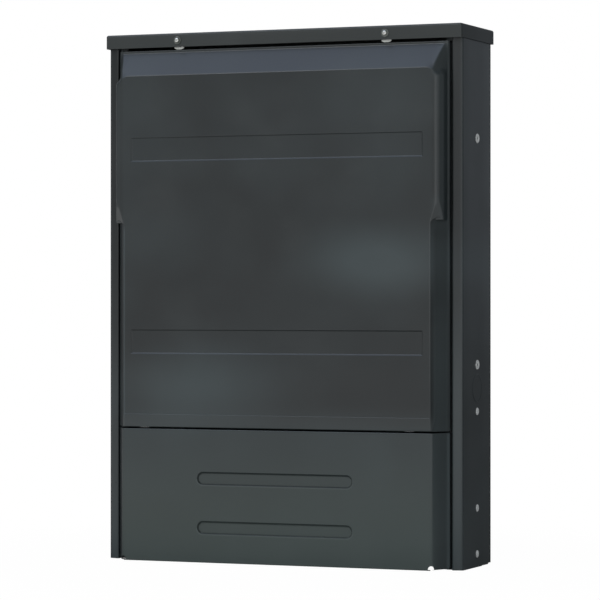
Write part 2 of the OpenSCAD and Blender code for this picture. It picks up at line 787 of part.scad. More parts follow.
// Hat rails with their feet on the brackets
module mounting_rails() {
    crown = y_support + rail_sheet;
    hat = [[y_rail, -rail_h / 2 - 8], [y_rail, -rail_h / 2], [crown, -rail_h / 2],
           [crown, rail_h / 2], [y_rail, rail_h / 2], [y_rail, rail_h / 2 + 8]];
    color([0.7, 0.71, 0.71]) for (z = gear_rail_heights())
        along_x(-half_in + post_sheet + 2, half_in - post_sheet - 2) translate([0, z])
            polygon(sheet(hat, rail_sheet));
}

// Busbar system

module busbar_supports() {
    z0 = bar_mid_z - rail_offset - rail_h / 2;
    z1 = bar_mid_z + rail_offset + rail_h / 2;
    half = support_w / 2;
    color([0.62, 0.25, 0.16]) for (s = [-1, 1]) difference() {
        block(s * support_x - half, s * support_x + half, y_bar, y_support, z0, z1);
        for (k = [-1.5, -0.5, 0.5, 1.5])
            block(s * support_x - half + 4, s * support_x + half - 4, y_bar + 4, y_support + 1,
                  bar_mid_z + k * bar_pitch - 20, bar_mid_z + k * bar_pitch + 20);
    }
}

module busbar(k) {
    z = bar_mid_z + k * bar_pitch;
    color([0.72, 0.45, 0.28]) block(-bar_len / 2, bar_len / 2, y_bar_front, y_bar, z - bar_h / 2, z + bar_h / 2);
}
module busbar_l1() busbar(1);
module busbar_l2() busbar(0);
module busbar_l3() busbar(-1);

z_pen = bracket_screw_low;
module pen_supports() {
    color([0.62, 0.25, 0.16]) for (s = [-1, 1])
        block(s * support_x - support_w / 2, s * support_x + support_w / 2, y_bar, y_support,
              z_pen - rail_h / 2, z_pen + rail_h / 2);
}
module pen_busbar() {
    color([0.72, 0.45, 0.28]) difference() {
        block(-bar_len / 2, bar_len / 2, y_bar_front, y_bar, z_pen - bar_h / 2, z_pen + bar_h / 2);
        for (i = [0:5]) rod_y(pen_bolt_r + screw_play, y_bar_front - 1, y_bar + 1, pen_x(i), z_pen);
    }
}
function pen_x(i) = (i - 2.5) * pen_pitch;

// Saddle clamps with their bolts on the neutral and earth busbar
module pen_clamps() {
    half = pen_clamp_w / 2;
    y0 = y_bar_front - pen_clamp_d;
    for (i = [0:5]) color([0.78, 0.78, 0.76]) {
        difference() {
            block(pen_x(i) - half, pen_x(i) + half, y0, y_bar_front, z_pen - 13, z_pen + 13);
            translate([pen_x(i), y_bar_front, z_pen - 14]) cylinder(r = 6, h = 28);
            rod_y(pen_bolt_r + run_play, y0 - 1, y_bar_front + 1, pen_x(i), z_pen);
        }
        rod_y(pen_bolt_r, y0 - 1, y_bar + 6, pen_x(i), z_pen);
        translate([pen_x(i), y0 - 5, z_pen]) rotate([-90, 0, 0]) cylinder(r = 7.4, h = 5, $fn = 6);
    }
}

// Cable rail and the clamps that hold the cables

y_cable_rail = y_mid - 20;
module cable_rail() {
    z0 = cable_rail_z - cable_rail_h / 2;
    z1 = cable_rail_z + cable_rail_h / 2;
    rail = [[y_cable_rail, z0 + 6], [y_cable_rail, z0], [y_cable_rail + cable_rail_d, z0],
            [y_cable_rail + cable_rail_d, z1], [y_cable_rail, z1], [y_cable_rail, z1 - 6]];
    color([0.7, 0.71, 0.71]) along_x(-half_in, half_in) polygon(sheet(rail, rail_sheet));
}

module cable_clamps() {
    w = cable_r + clamp_wall;
    y0 = y_cable_rail - 2 * w;
    for (i = [1:n_switches]) {
        x = switch_x(i);
        color([0.16, 0.16, 0.17]) difference() {
            block(x - w, x + w, y0, y_cable_rail, cable_rail_z - clamp_h / 2, cable_rail_z + clamp_h / 2);
            translate([x, y_cable_rail - w, cable_rail_z - clamp_h]) cylinder(r = cable_r, h = 2 * clamp_h);
        }
        color([0.78, 0.78, 0.76]) translate([x, y0 - 4, cable_rail_z]) rotate([-90, 0, 0])
            cylinder(r = 5, h = 4, $fn = 6);
    }
}

// Fuse switches

function switch_x(i) = (i - (n_switches + 1) / 2) * switch_pitch;
chamber_w = 26;
z_chamber0 = z_pin + 6;
z_chamber1 = z_pin + lid_h + 2;
jaw_h = 11;
link_z0 = 25;
link_z1 = 75;
jaw_top = link_z1 + 8;
jaw_low = link_z0 - 13;
y_terminal = y_bar_front - 6;
terminal_h = 28;

module fuse_base(i) {
    color([0.2, 0.2, 0.21]) translate([switch_x(i), 0, 0]) difference() {
        union() {
            block(-switch_w / 2, switch_w / 2, y_switch, y_bar_front, z_switch0, z_switch0 + switch_h);
            // Raised terminal covers above and below the lid
            block(-switch_w / 2, switch_w / 2, y_switch - 8, y_switch + eps, z_pin + lid_h + 6, z_switch0 + switch_h);
            block(-switch_w / 2, switch_w / 2, y_switch - 8, y_switch + eps, z_switch0, z_pin - 10);
            // Ears that carry the lid's pin
            for (s = [-1, 1])
                block(s * (switch_w - ear_w) / 2 - ear_w / 2, s * (switch_w - ear_w) / 2 + ear_w / 2,
                      y_pin - 5, y_switch + eps, z_pin - 6, z_pin + 6);
        }
        rod_x(lid_pin_r + run_play, -switch_w, switch_w, y_pin, z_pin);
        for (p = [-1:1]) {
            // Chamber for the fuse link
            block(p * pole_pitch - chamber_w / 2, p * pole_pitch + chamber_w / 2, y_switch - 1,
                  y_bar_front - 3, z_chamber0, z_chamber1);
        }
        // Terminal space for the cable lugs, open in front and below
        difference() {
            block(-switch_w / 2 + 3, switch_w / 2 - 3, y_switch - 9, y_terminal,
                  z_switch0 - 1, z_switch0 + terminal_h);
            for (s = [-1, 1])
                block(s * pole_pitch / 2 - 1, s * pole_pitch / 2 + 1, y_terminal - 8, y_terminal + 1,
                      z_switch0 - 2, z_switch0 + terminal_h + 1);
        }
        // Vent slots in the upper cover
        for (k = [-4:4])
            block(k * 10 - 2, k * 10 + 2, y_switch - 9, y_switch - 5, z_pin + lid_h + 14, z_switch0 + switch_h - 10);
    }
}
module fuse_base_1() fuse_base(1);
module fuse_base_2() fuse_base(2);
module fuse_base_3() fuse_base(3);
module fuse_base_4() fuse_base(4);
module fuse_base_5() fuse_base(5);

// Terminal plates with their screws, at the back of the terminal spaces
module fuse_terminals() {
    for (i = [1:n_switches], p = [-1:1]) {
        x = switch_x(i) + p * pole_pitch;
        color([0.78, 0.78, 0.76]) {
            block(x - 9, x + 9, y_terminal - 3, y_terminal, z_switch0 + 3, z_switch0 + terminal_h - 1);
            translate([x, y_terminal - 7, z_switch0 + terminal_h / 2]) rotate([-90, 0, 0])
                cylinder(r = 6, h = 4, $fn = 6);
        }
    }
}

// Contact jaws: two leaves beside each blade on a foot at the back of the chamber
module fuse_contacts() {
    gap = blade_t / 2 + slide_play;
    y_back = y_bar_front - 3;
    color([0.76, 0.5, 0.32]) for (i = [1:n_switches], p = [-1:1], z = [jaw_low, jaw_top]) {
        x = switch_x(i) + p * pole_pitch;
        for (s = [-1, 1])
            block(x + s * (gap + 0.75) - 0.75, x + s * (gap + 0.75) + 0.75, y_back - 21, y_back,
                  z_pin + z, z_pin + z + jaw_h);
        block(x - gap - 1.5, x + gap + 1.5, y_back - 2, y_back, z_pin + z, z_pin + z + jaw_h);
    }
}

module fuse_lid(i) {
    w = plastic_wall;
    grip_y = lid_front - 12;
    profile = [[lid_back, z_pin], [lid_back, z_pin + lid_h], [lid_front + 5, z_pin + lid_h],
               [lid_front, z_pin + lid_h - 8], [lid_front, z_pin + 8], [lid_front + 6, z_pin]];
    color([0.26, 0.26, 0.27]) translate([switch_x(i), 0, 0]) {
        difference() {
            union() {
                along_x(-lid_half, lid_half) polygon(profile);
                // Round heel about the pin
                rod_x(lid_back - y_pin, -lid_half, lid_half, y_pin, z_pin);
            }
            block(-lid_half + w, lid_half - w, lid_front + w, lid_back + 1, z_pin + 10, z_pin + lid_h - w);
            // Three windows over the fuse links
            for (p = [-1:1])
                block(p * pole_pitch - 8, p * pole_pitch + 8, lid_front - 1, lid_front + w + 1,
                      z_pin + 32, z_pin + 58);
        }
        // Holders that carry the fuse links
        for (p = [-1:1], z = [link_z0 + 2, link_z1 - 14])
            block(p * pole_pitch - 9, p * pole_pitch + 9, lid_front + w - eps, lid_back - 0.5, z_pin + z, z_pin + z + 12);
        // Grip bar across the top of the lid
        for (s = [-1, 1])
            block(s * 26 - 3, s * 26 + 3, grip_y, lid_front + eps, z_pin + lid_h - 24, z_pin + lid_h - 10);
        block(-29, 29, grip_y, grip_y + 4, z_pin + lid_h - 24, z_pin + lid_h - 10);
        // Pin stubs in the ears
        for (s = [-1, 1])
            rod_x(lid_pin_r, s > 0 ? lid_half - 1 : -switch_w / 2, s > 0 ? switch_w / 2 : -lid_half + 1, y_pin, z_pin);
    }
}
module fuse_lid_1() fuse_lid(1);
module fuse_lid_2() fuse_lid(2);
module fuse_lid_3() fuse_lid(3);
module fuse_lid_4() fuse_lid(4);
module fuse_lid_5() fuse_lid(5);

// Three fuse links with ceramic bodies and knife blades, carried by a lid
module fuse_links(i) {
    y0 = lid_back - 0.5;
    translate([switch_x(i), 0, 0]) for (p = [-1:1]) {
        x = p * pole_pitch;
        color([0.9, 0.89, 0.85])
            block(x - link_w / 2, x + link_w / 2, y0, y0 + link_d, z_pin + link_z0, z_pin + link_z1);
        color([0.8, 0.8, 0.8]) {
            block(x - blade_t / 2, x + blade_t / 2, y0 + 5, y0 + 5 + blade_w, z_pin + link_z1,
                  z_pin + link_z1 + blade_len);
            block(x - blade_t / 2, x + blade_t / 2, y0 + 5, y0 + 5 + blade_w,
                  z_pin + link_z0 - blade_len + 3, z_pin + link_z0);
        }
    }
}
module fuse_links_1() fuse_links(1);
module fuse_links_2() fuse_links(2);
module fuse_links_3() fuse_links(3);
module fuse_links_4() fuse_links(4);
module fuse_links_5() fuse_links(5);

side_panel_left();
side_panel_right();
rear_panel();
top_rail_front();
top_rail_rear();
sill_rail();
foot_angle_left();
foot_angle_right();
door_pivot_shoes();
roof_hinge_leaves();
roof_hinge_pins();
gear_bracket_left();
gear_bracket_right();
mounting_rails();
busbar_supports();
busbar_l1();
busbar_l2();
busbar_l3();
pen_busbar();
pen_supports();
pen_clamps();
cable_rail();
cable_clamps();
fuse_base_1();
fuse_base_2();
fuse_base_3();
fuse_base_4();
fuse_base_5();
fuse_contacts();
fuse_terminals();
side_screws_upper();
side_screws_lower();
rear_screws();
door();
door_pivot_rod();
door_stiffeners();
document_pocket();
base_cover();
base_cover_hooks();
roof();
roof_hinge_knuckles();
lock_screw_left();
lock_screw_right();
lock_washer_left();
lock_washer_right();
lock_tongue_left();
lock_tongue_right();
fuse_lid_1();
fuse_lid_2();
fuse_lid_3();
fuse_lid_4();
fuse_lid_5();
fuse_links_1();
fuse_links_2();
fuse_links_3();
fuse_links_4();
fuse_links_5();
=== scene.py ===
import math
import bmesh
import bpy
import numpy as np
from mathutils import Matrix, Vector


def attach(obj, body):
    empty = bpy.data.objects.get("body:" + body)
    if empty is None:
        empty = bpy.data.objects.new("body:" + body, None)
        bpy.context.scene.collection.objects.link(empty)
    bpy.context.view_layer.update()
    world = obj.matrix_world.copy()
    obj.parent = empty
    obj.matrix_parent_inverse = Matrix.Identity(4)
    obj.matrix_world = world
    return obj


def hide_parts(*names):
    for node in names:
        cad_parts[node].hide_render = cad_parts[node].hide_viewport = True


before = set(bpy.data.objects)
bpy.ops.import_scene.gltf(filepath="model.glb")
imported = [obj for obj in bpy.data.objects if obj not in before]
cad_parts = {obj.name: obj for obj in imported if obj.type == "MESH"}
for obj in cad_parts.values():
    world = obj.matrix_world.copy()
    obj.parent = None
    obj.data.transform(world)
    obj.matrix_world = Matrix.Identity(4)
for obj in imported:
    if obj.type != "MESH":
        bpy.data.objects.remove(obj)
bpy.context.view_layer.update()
MM = 0.001

# Places and lengths of the cabinet in mm: x from the middle, y backwards, z up from the floor

SIDE_FACE = 322.0
FACE, BACK, INNER = -95.0, -50.5, 268.0
FLANGE = (297.5, -64.5)
DOOR_FOOT, DOOR_HEAD, SLOPE_START = 229.0, 871.5, 812.0
LEDGE, FACET_TOP, FACET_FALL, FACET_DEPTH = 572.0, 604.5, 29.0, 4.6
LABEL_HALF, LABEL_DEPTH, LABEL_FIELDS = 265.0, 1.7, ((353.2, 394.6), (680.2, 721.6))
BASE_FOOT, BASE_HEAD = 1.0, 226.0
RIB_MIDDLES, RIB_HALF, RIB_RADIUS, RIB_DEPTH = (60.6, 143.6), 129.9, 11.0, 3.0
NOTCH_X, NOTCH_RADIUS, LIP = 279.8, 6.4, 2.6
ROOF_HALF, ROOF_FRONT, ROOF_BACK, ROOF_TOP, ROOF_EDGE = 324.0, -69.0, 95.0, 900.0, 3.4
SHEET, PANEL = 1.5, 2.0
SCREW_Y, KNOCKOUT_Z, LOCK_X, LOCK_Z = 13.0, 298.0, 189.0, 887.4


# Surface maths for the finishes

class Signal:
    """A shader output that takes part in sums: each operator adds one Math node."""

    def __init__(self, finish, socket):
        self.finish, self.socket = finish, socket

    def math(self, operation, *values):
        """One Math node over values and outputs."""
        return self.finish.node("ShaderNodeMath", {"operation": operation}, dict(enumerate(values)))

    def __add__(self, other):
        return self.math("ADD", self, other)

    def __radd__(self, other):
        return self.math("ADD", other, self)

    def __sub__(self, other):
        return self.math("SUBTRACT", self, other)

    def __rsub__(self, other):
        return self.math("SUBTRACT", other, self)

    def __mul__(self, other):
        return self.math("MULTIPLY", self, other)

    def __rmul__(self, other):
        return self.math("MULTIPLY", other, self)

    def __truediv__(self, other):
        return self.math("DIVIDE", self, other)

    def __rtruediv__(self, other):
        return self.math("DIVIDE", other, self)

    def __pow__(self, other):
        return self.math("POWER", self, other)

    def __rpow__(self, other):
        return self.math("POWER", other, self)

    def __abs__(self):
        return self.math("ABSOLUTE", self)

    def lowest(self, other):
        """The lower of two at each point."""
        return self.math("MINIMUM", self, other)

    def highest(self, other):
        """The higher of two at each point."""
        return self.math("MAXIMUM", self, other)

    def step(self, low, high):
        """0 below low, 1 above high, smooth between them."""
        return self.finish.node("ShaderNodeMapRange", {"interpolation_type": "SMOOTHSTEP"},
                                {0: self, 1: low, 2: high, 3: 0.0, 4: 1.0})

    def fade(self, low, high):
        """1 below low, 0 above high, smooth between them."""
        return 1.0 - self.step(low, high)

    def band(self, rise, fall):
        """A soft rise to 1 over one pair of places and a soft fall back to 0 over another."""
        return self.step(*rise) * self.fade(*fall)


class Finish:
    """A procedural material: one Principled shader and the patterns that feed it."""

    def __init__(self, name, **fixed):
        self.material = bpy.data.materials.new(name)
        self.material.use_nodes = True
        self.tree = self.material.node_tree
        self.shader = self.tree.nodes["Principled BSDF"]
        self.feed(**fixed)
        self.place = self.node("ShaderNodeTexCoord", out="Object")

    def node(self, kind, settings=None, sockets=None, out=0):
        """One output of a new node: its settings come first, then its sockets' values or links."""
        node = self.tree.nodes.new(kind)
        for key, value in (settings or {}).items():
            setattr(node, key, value)
        for key, value in (sockets or {}).items():
            self.plug(node.inputs[key], value)
        return Signal(self, node.outputs[out])

    def plug(self, socket, value):
        """A link where the value is a shader output, and otherwise the socket's own value."""
        if isinstance(value, Signal):
            self.tree.links.new(value.socket, socket)
        else:
            socket.default_value = value

    def feed(self, **sockets):
        """Values or links for the Principled shader's sockets, their names with low lines."""
        for key, value in sockets.items():
            self.plug(self.shader.inputs[key.replace("_", " ")], value)
        return self

    def noise(self, scale, detail=2.0, roughness=0.5, at=None):
        """Soft noise from 0 to 1, by scale in waves per metre."""
        sockets = {"Vector": at or self.place, "Scale": scale, "Detail": detail, "Roughness": roughness}
        return self.node("ShaderNodeTexNoise", {"noise_dimensions": "3D"}, sockets)

    def stretched(self, x, y, z):
        """Object coordinates scaled along each axis, for brushed and rolled metal."""
        return self.node("ShaderNodeMapping", None, {"Vector": self.place, "Scale": (x, y, z)})

    def axis(self, name):
        """One coordinate of the place, in metres."""
        return self.node("ShaderNodeSeparateXYZ", None, {0: self.place}, out=name)

    def blend(self, amount, a, b):
        """Colour a where the amount is 0, b where it is 1."""
        return self.node("ShaderNodeMix", {"data_type": "RGBA"}, {0: amount, 6: a, 7: b}, out=2)

    def bump(self, height, distance, strength=1.0, over=None):
        """A height turned into a tilt of the surface, on top of another where one is given."""
        sockets = {"Height": height, "Distance": distance, "Strength": strength}
        if over is not None:
            sockets["Normal"] = over
        return self.node("ShaderNodeBump", None, sockets)

    def ray(self, kind):
        """1 for rays of one kind, such as Camera or Glossy, and 0 for the others."""
        return self.node("ShaderNodeLightPath", out=f"Is {kind} Ray")


def colour(red, green, blue):
    """A colour given in screen values, as the shader's linear values."""
    parts = np.array([red, green, blue]) / 255
    linear = np.where(parts <= 0.04045, parts / 12.92, ((parts + 0.055) / 1.055) ** 2.4)
    return (*[float(p) for p in linear], 1.0)


# Powder coat, with the light and shade painted on the cabinet's front

class Front:
    """Masks from 0 to 1 on the cabinet's front, by place in metres: each is a product of soft steps
    across the width, up the height or through the depth."""

    def __init__(self, coat):
        x, y, z = (coat.axis(way) for way in "XYZ")
        self.x, self.z = x, z
        self.right = x.step(0.0, 0.1)
        self.between_bevels = abs(x).fade(0.274, 0.290)
        self.post = y.fade(-0.0590, -0.0565) * abs(x).step(0.2985, 0.3025)
        # Upper post flanges: painted shade in the colour, and on the right also a rougher coat
        self.dull_and_shaded_post = self.post * z.step(0.24, 0.58)
        # Masks for painted light and shade: the bevels' painted tones, a painted highlight line on the left
        # crease, painted shade on the round corner, and a painted highlight on the base cover's hem
        self.right_bevel = x.band((0.280, 0.284), (0.2965, 0.2985))
        self.left_bevel = (-1.0 * x).band((0.276, 0.284), (0.2965, 0.2985))
        self.left_crease = abs(x + 0.2775).fade(0.0004, 0.0028) * z.band((0.232, 0.262), (0.560, 0.574))
        self.round_corner = x.band((0.276, 0.284), (0.290, 0.297)) * z.band((0.602, 0.625), (0.80, 0.82))
        self.base_hem = x.band((0.2965, 0.2975), (0.2995, 0.3003)) * z.fade(0.222, 0.228)

    def painted_sheen(self, at_x, at_z, wide, high, gain):
        """A painted reflection, a large soft oval by its middle and half sizes in mm: its gain, falling to 0
        at the rim; a negative gain paints shade instead.
        """
        across, up = (self.x - at_x * MM) / (wide * MM), (self.z - at_z * MM) / (high * MM)
        return gain * ((across ** 2.0 + up ** 2.0) ** 0.5).fade(0.0, 1.0)

    def level(self):
        """Painted light and shade by place, as how much paler or darker the coat is: the foot is painted
        paler as light from the floor, the bevels and what lies beyond them paler, each post and the right
        bevel painted lighter and darker by its height, the round corner and the left bevel painted darker,
        and a painted highlight on the base cover's hem and the left crease."""
        z, right = self.z, self.right
        # The foot painted paler, as light from the floor
        foot = 0.50 * z.fade(0.22, 0.275) + 0.42 * z.fade(0.0, 0.10)
        right_post = 0.27 * right * z.fade(0.22, 0.50)
        left_post = (1.0 - right) * (0.36 * z.fade(0.03, 0.14) - 0.28 * z.step(0.08, 0.18))
        posts = 0.40 * z.fade(0.28, 0.62) - 0.22 + right_post + left_post
        bevel = 0.30 * z.band((-0.08, 0.14), (0.32, 0.50)) - 0.28 * z.band((0.42, 0.50), (0.55, 0.574))
        return (foot * self.between_bevels + 0.26 * (1.0 - self.between_bevels) + self.post * posts
                + self.right_bevel * bevel + 0.9 * self.base_hem - 0.26 * self.round_corner
                - 0.30 * self.left_bevel + 0.70 * self.left_crease)

    def rib_lines(self):
        """A dark line of painted shade round the two pressed ribs and a light line of painted highlight under
        them, each a thin line at its distance from the rib's straight middle line."""
        rib_shade, rib_highlight = 0.0, 0.0
        for middle in RIB_MIDDLES:
            up = self.z - middle * MM
            far = ((abs(self.x) - RIB_HALF * MM).highest(0.0) ** 2.0 + up ** 2.0) ** 0.5
            below = up.fade(-0.006, 0.002)
            # A painted shade line at the rib's wall, darker below, and a painted highlight line under the rib
            rib_shade = rib_shade + abs(far - 0.0098).fade(0.0002, 0.0016) * (0.45 + 0.18 * below)
            rib_highlight = rib_highlight + abs(far - 0.0122).fade(0.0002, 0.0013) * below
        return rib_shade, rib_highlight

    def painted(self, coat, tone):
        """The tone with a paler, greener foot painted as light from the floor, painted shade lines round the
        ribs, painted shade on the upper post flanges and painted highlight lines under the ribs.
        """
        rib_shade, rib_highlight = self.rib_lines()
        # Paler, greener foot: painted light from the floor
        tone = coat.blend(0.42 * self.z.fade(0.04, 0.26) * self.between_bevels, tone, colour(76, 87, 81))
        tone = coat.blend(rib_shade, tone, colour(20, 24, 25))
        tone = coat.blend(0.62 * self.dull_and_shaded_post, tone, colour(15, 19, 21))
        return coat.blend(0.22 * rib_highlight, tone, colour(112, 120, 120))


def coated_sheet(name, body, light, rough=0.36, ripple=0.0022, pale=0.30, painted_sheens=()):
    """Grey powder coat: soft clouds between two tones, dust and fine speckle, a slow ripple of the sheet and
    a fine orange peel. The coat that has painted sheens also has painted light and shade on the front:
    painted reflections, highlights and shade."""
    coat = Finish(name, IOR=1.5)
    clouds_and_painted_light = coat.noise(5.0).step(0.28, 0.74) * 0.26 + pale - 0.13
    front = Front(coat) if painted_sheens else None
    # Painted reflections and patches of painted shade on the front
    for painted_sheen in painted_sheens:
        clouds_and_painted_light = clouds_and_painted_light + front.painted_sheen(*painted_sheen)
    # The front's painted light and shade by place
    if front:
        clouds_and_painted_light = clouds_and_painted_light + front.level()
    clouds_and_painted_light = clouds_and_painted_light.highest(0.0).lowest(1.0)
    tone = coat.blend(clouds_and_painted_light, body, light)
    if front:
        tone = front.painted(coat, tone)
        rough = rough + 0.15 * front.dull_and_shaded_post * front.right
    dust = coat.noise(9.0, 3.0).step(0.45, 0.85)
    speckle = coat.noise(1500.0, 1.0).step(0.6, 0.75)
    tone = coat.blend(dust * 0.05, tone, colour(106, 112, 110))
    tone = coat.blend(speckle * 0.06, tone, colour(120, 126, 124))
    slow = coat.bump(coat.noise(6.5, 1.0, 0.4), ripple)
    peel = coat.bump(coat.noise(900.0), 0.000024, over=slow)
    return coat.feed(Base_Color=tone, Roughness=rough + 0.06 * clouds_and_painted_light + 0.08 * dust, Normal=peel).material


# Metals and mouldings

def rolled_metal(name, body, light):
    """Zinc coated steel: long rolling streaks, large soft crystals and dull patches."""
    zinc = Finish(name, Metallic=1.0)
    streak = zinc.noise(18.0, 4.0, 0.6, at=zinc.stretched(2.0, 14.0, 14.0))
    crystal = zinc.node("ShaderNodeTexVoronoi", {"feature": "F1"},
                        {"Vector": zinc.place, "Scale": 85.0}, out="Color")
    flake = zinc.node("ShaderNodeSeparateColor", None, {0: crystal})
    dull = zinc.noise(14.0, 3.0, 0.6).step(0.42, 0.7)
    tone = zinc.blend((0.5 * flake + 0.5 * streak).step(0.2, 0.85), body, light)
    tone = zinc.blend(dull * 0.25, tone, colour(120, 122, 122))
    fine = zinc.bump(streak, 0.0002, 0.3)
    return zinc.feed(Base_Color=tone, Roughness=0.42 + 0.14 * flake + 0.12 * dull, Normal=fine).material


def bright_metal(name, body, light, rough=0.24, metallic=1.0):
    """Plated turned steel: a fine grain over soft patches of two tones."""
    plate = Finish(name, Metallic=metallic)
    grain = plate.noise(420.0, 3.0, 0.6)
    tint = plate.noise(60.0).step(0.35, 0.7)
    tone = plate.blend(tint, body, light)
    return plate.feed(Base_Color=tone, Roughness=rough + 0.16 * grain,
                      Normal=plate.bump(grain, 0.00004, 0.5)).material


def moulded_plastic(name, body, light, rough=0.42, texture=700.0, depth=0.00003):
    """Moulded plastic: faint flow marks and an eroded tool texture."""
    plastic = Finish(name, IOR=1.49)
    flow = plastic.noise(20.0, 2.0, 0.6, at=plastic.stretched(1.0, 1.0, 2.6)).step(0.3, 0.7)
    eroded = plastic.noise(texture, 2.0, 0.6)
    tone = plastic.blend(flow, body, light)
    return plastic.feed(Base_Color=tone, Roughness=rough + 0.12 * flow,
                        Normal=plastic.bump(eroded, depth)).material


def copper_bar(name):
    """Rolled copper bar: long draw lines and brown oxide clouds."""
    bar = Finish(name, Metallic=1.0)
    draw = bar.noise(30.0, 4.0, 0.6, at=bar.stretched(0.6, 26.0, 26.0))
    oxide = bar.noise(28.0, 4.0, 0.6).step(0.45, 0.75)
    tone = bar.blend(draw.step(0.3, 0.7), colour(198, 120, 88), colour(226, 152, 116))
    tone = bar.blend(oxide * 0.55, tone, colour(134, 78, 56))
    return bar.feed(Base_Color=tone, Roughness=0.26 + 0.2 * draw + 0.15 * oxide,
                    Normal=bar.bump(draw, 0.0001, 0.4)).material


# The front's painted sheens, painted reflections where the gain is positive and painted shade where it is
# negative: x and z of the middle, half width, half height (mm) and gain
right_glow, left_glow = (190, 510, 200, 84, 0.98), (-132, 296, 240, 96, 0.84)
top_glow = (190, 790, 190, 120, 0.34)
upper_left, upper_right = (-265, 755, 100, 110, 0.16), (215, 665, 120, 130, 0.18)
middle_left, centre = (-245, 548, 80, 60, 0.14), (-20, 660, 90, 60, 0.06)
painted_shade_left, painted_shade_middle = (-170, 625, 150, 60, -0.16), (-110, 440, 150, 90, -0.20)

cabinet_coat = coated_sheet("cabinet_coat", colour(34, 38, 39), colour(62, 71, 73), rough=0.32, pale=0.10,
                            painted_sheens=(right_glow, left_glow, top_glow, upper_left, middle_left, centre,
                                    upper_right, painted_shade_left, painted_shade_middle))
roof_coat = coated_sheet("roof_coat", colour(33, 38, 37), colour(54, 58, 57), rough=0.42, ripple=0.0012)
inner_coat = coated_sheet("inner_coat", colour(42, 46, 46), colour(50, 54, 54), rough=0.46)
galvanised_steel = rolled_metal("galvanised_steel", colour(150, 153, 155), colour(198, 200, 201))
zinc_plating = bright_metal("zinc_plating", colour(204, 204, 200), colour(226, 226, 222))
aged_plating = bright_metal("aged_plating", colour(92, 96, 92), colour(118, 121, 116), rough=0.46,
                            metallic=0.6)
side_plating = bright_metal("side_plating", colour(198, 200, 199), colour(216, 217, 215), rough=0.4,
                            metallic=0.25)
copper = copper_bar("copper")
insulator_red = moulded_plastic("insulator_red", colour(136, 34, 26), colour(156, 44, 34))
switch_housing = moulded_plastic("switch_housing", colour(38, 39, 41), colour(48, 49, 51), rough=0.46)
switch_lid = moulded_plastic("switch_lid", colour(126, 130, 133), colour(142, 146, 148), rough=0.38)
fuse_ceramic = moulded_plastic("fuse_ceramic", colour(226, 223, 214), colour(238, 236, 228), rough=0.2,
                               texture=260.0, depth=0.00001)
clamp_plastic = moulded_plastic("clamp_plastic", colour(34, 35, 36), colour(44, 45, 46), rough=0.5)
pocket_plastic = moulded_plastic("pocket_plastic", colour(120, 124, 126), colour(136, 140, 142))


# Surfaces from arrays

def rounded(path, radii, steps):
    """Each inner corner of a path becomes an arc: the circle of its radius that touches both
    straight parts, sampled at even angles between the two touching points."""
    path = [np.array(p, float) for p in path]
    points = [path[0][None]]
    for before, corner, after, r in zip(path, path[1:], path[2:], radii):
        a = (before - corner) / np.linalg.norm(before - corner)
        b = (after - corner) / np.linalg.norm(after - corner)
        half = math.acos(float(np.clip(a @ b, -1, 1))) / 2
        centre = corner + (a + b) / np.linalg.norm(a + b) * r / math.sin(half)
        start, end = corner + a * r / math.tan(half), corner + b * r / math.tan(half)
        t = np.linspace(0, 1, steps)[:, None]
        sweep = math.pi - 2 * half
        arc = np.sin((1 - t) * sweep) * (start - centre) + np.sin(t * sweep) * (end - centre)
        points.append(centre + arc / math.sin(sweep))
    return np.concatenate(points + [path[-1][None]])


def lengths(path):
    """Distance along a path at each of its points."""
    return np.concatenate([[0.0], np.cumsum(np.linalg.norm(np.diff(path, axis=0), axis=1))])


def resampled(path, fractions):
    """Points of a path at the given fractions of its length."""
    s = lengths(path)
    return np.stack([np.interp(fractions * s[-1], s, path[:, k]) for k in range(path.shape[1])], axis=1)


def between(a, b, n):
    """Even steps on a straight line, without its last point."""
    return np.linspace(a, b, n + 1)[:-1]


def dense(path, step):
    """A path with even extra points, so that no stretch of it is longer than step."""
    parts = [between(a, b, max(1, math.ceil(np.linalg.norm(np.subtract(b, a)) / step)))
             for a, b in zip(path, path[1:])]
    return np.concatenate(parts + [path[-1:]])


def stops(*runs):
    """Sample places: each run is (from, to, count), and doubles between runs drop out."""
    return np.unique(np.round(np.concatenate([np.linspace(a, b, n) for a, b, n in runs]), 5))


def smooth(low, high, x):
    """0 below low, 1 above high, three t squared less two t cubed between them."""
    t = np.clip((x - low) / (high - low), 0, 1)
    return t * t * (3 - 2 * t)


def surface(name, points, material, closed=False, capped=False, keep=None, flip=False, wall=0.0, sharp=32):
    """A grid of points in mm, rows by columns, joined into four-sided faces: a True in keep leaves
    that face in, closed joins the last column to the first, and capped closes the last row."""
    rows, columns = points.shape[:2]
    number = np.arange(rows * columns).reshape(rows, columns)
    grid = np.concatenate([number, number[:, :1]], axis=1) if closed else number
    faces = np.stack([grid[:-1, :-1], grid[:-1, 1:], grid[1:, 1:], grid[1:, :-1]], axis=-1)
    faces = faces.reshape(-1, 4) if keep is None else faces[keep]
    faces = (faces[:, ::-1] if flip else faces).tolist()
    if capped:
        faces.append(number[-1].tolist())
    mesh = bpy.data.meshes.new(name)
    mesh.from_pydata((points.reshape(-1, 3) * MM).tolist(), [], faces)
    return finished(name, mesh, material, wall, sharp)


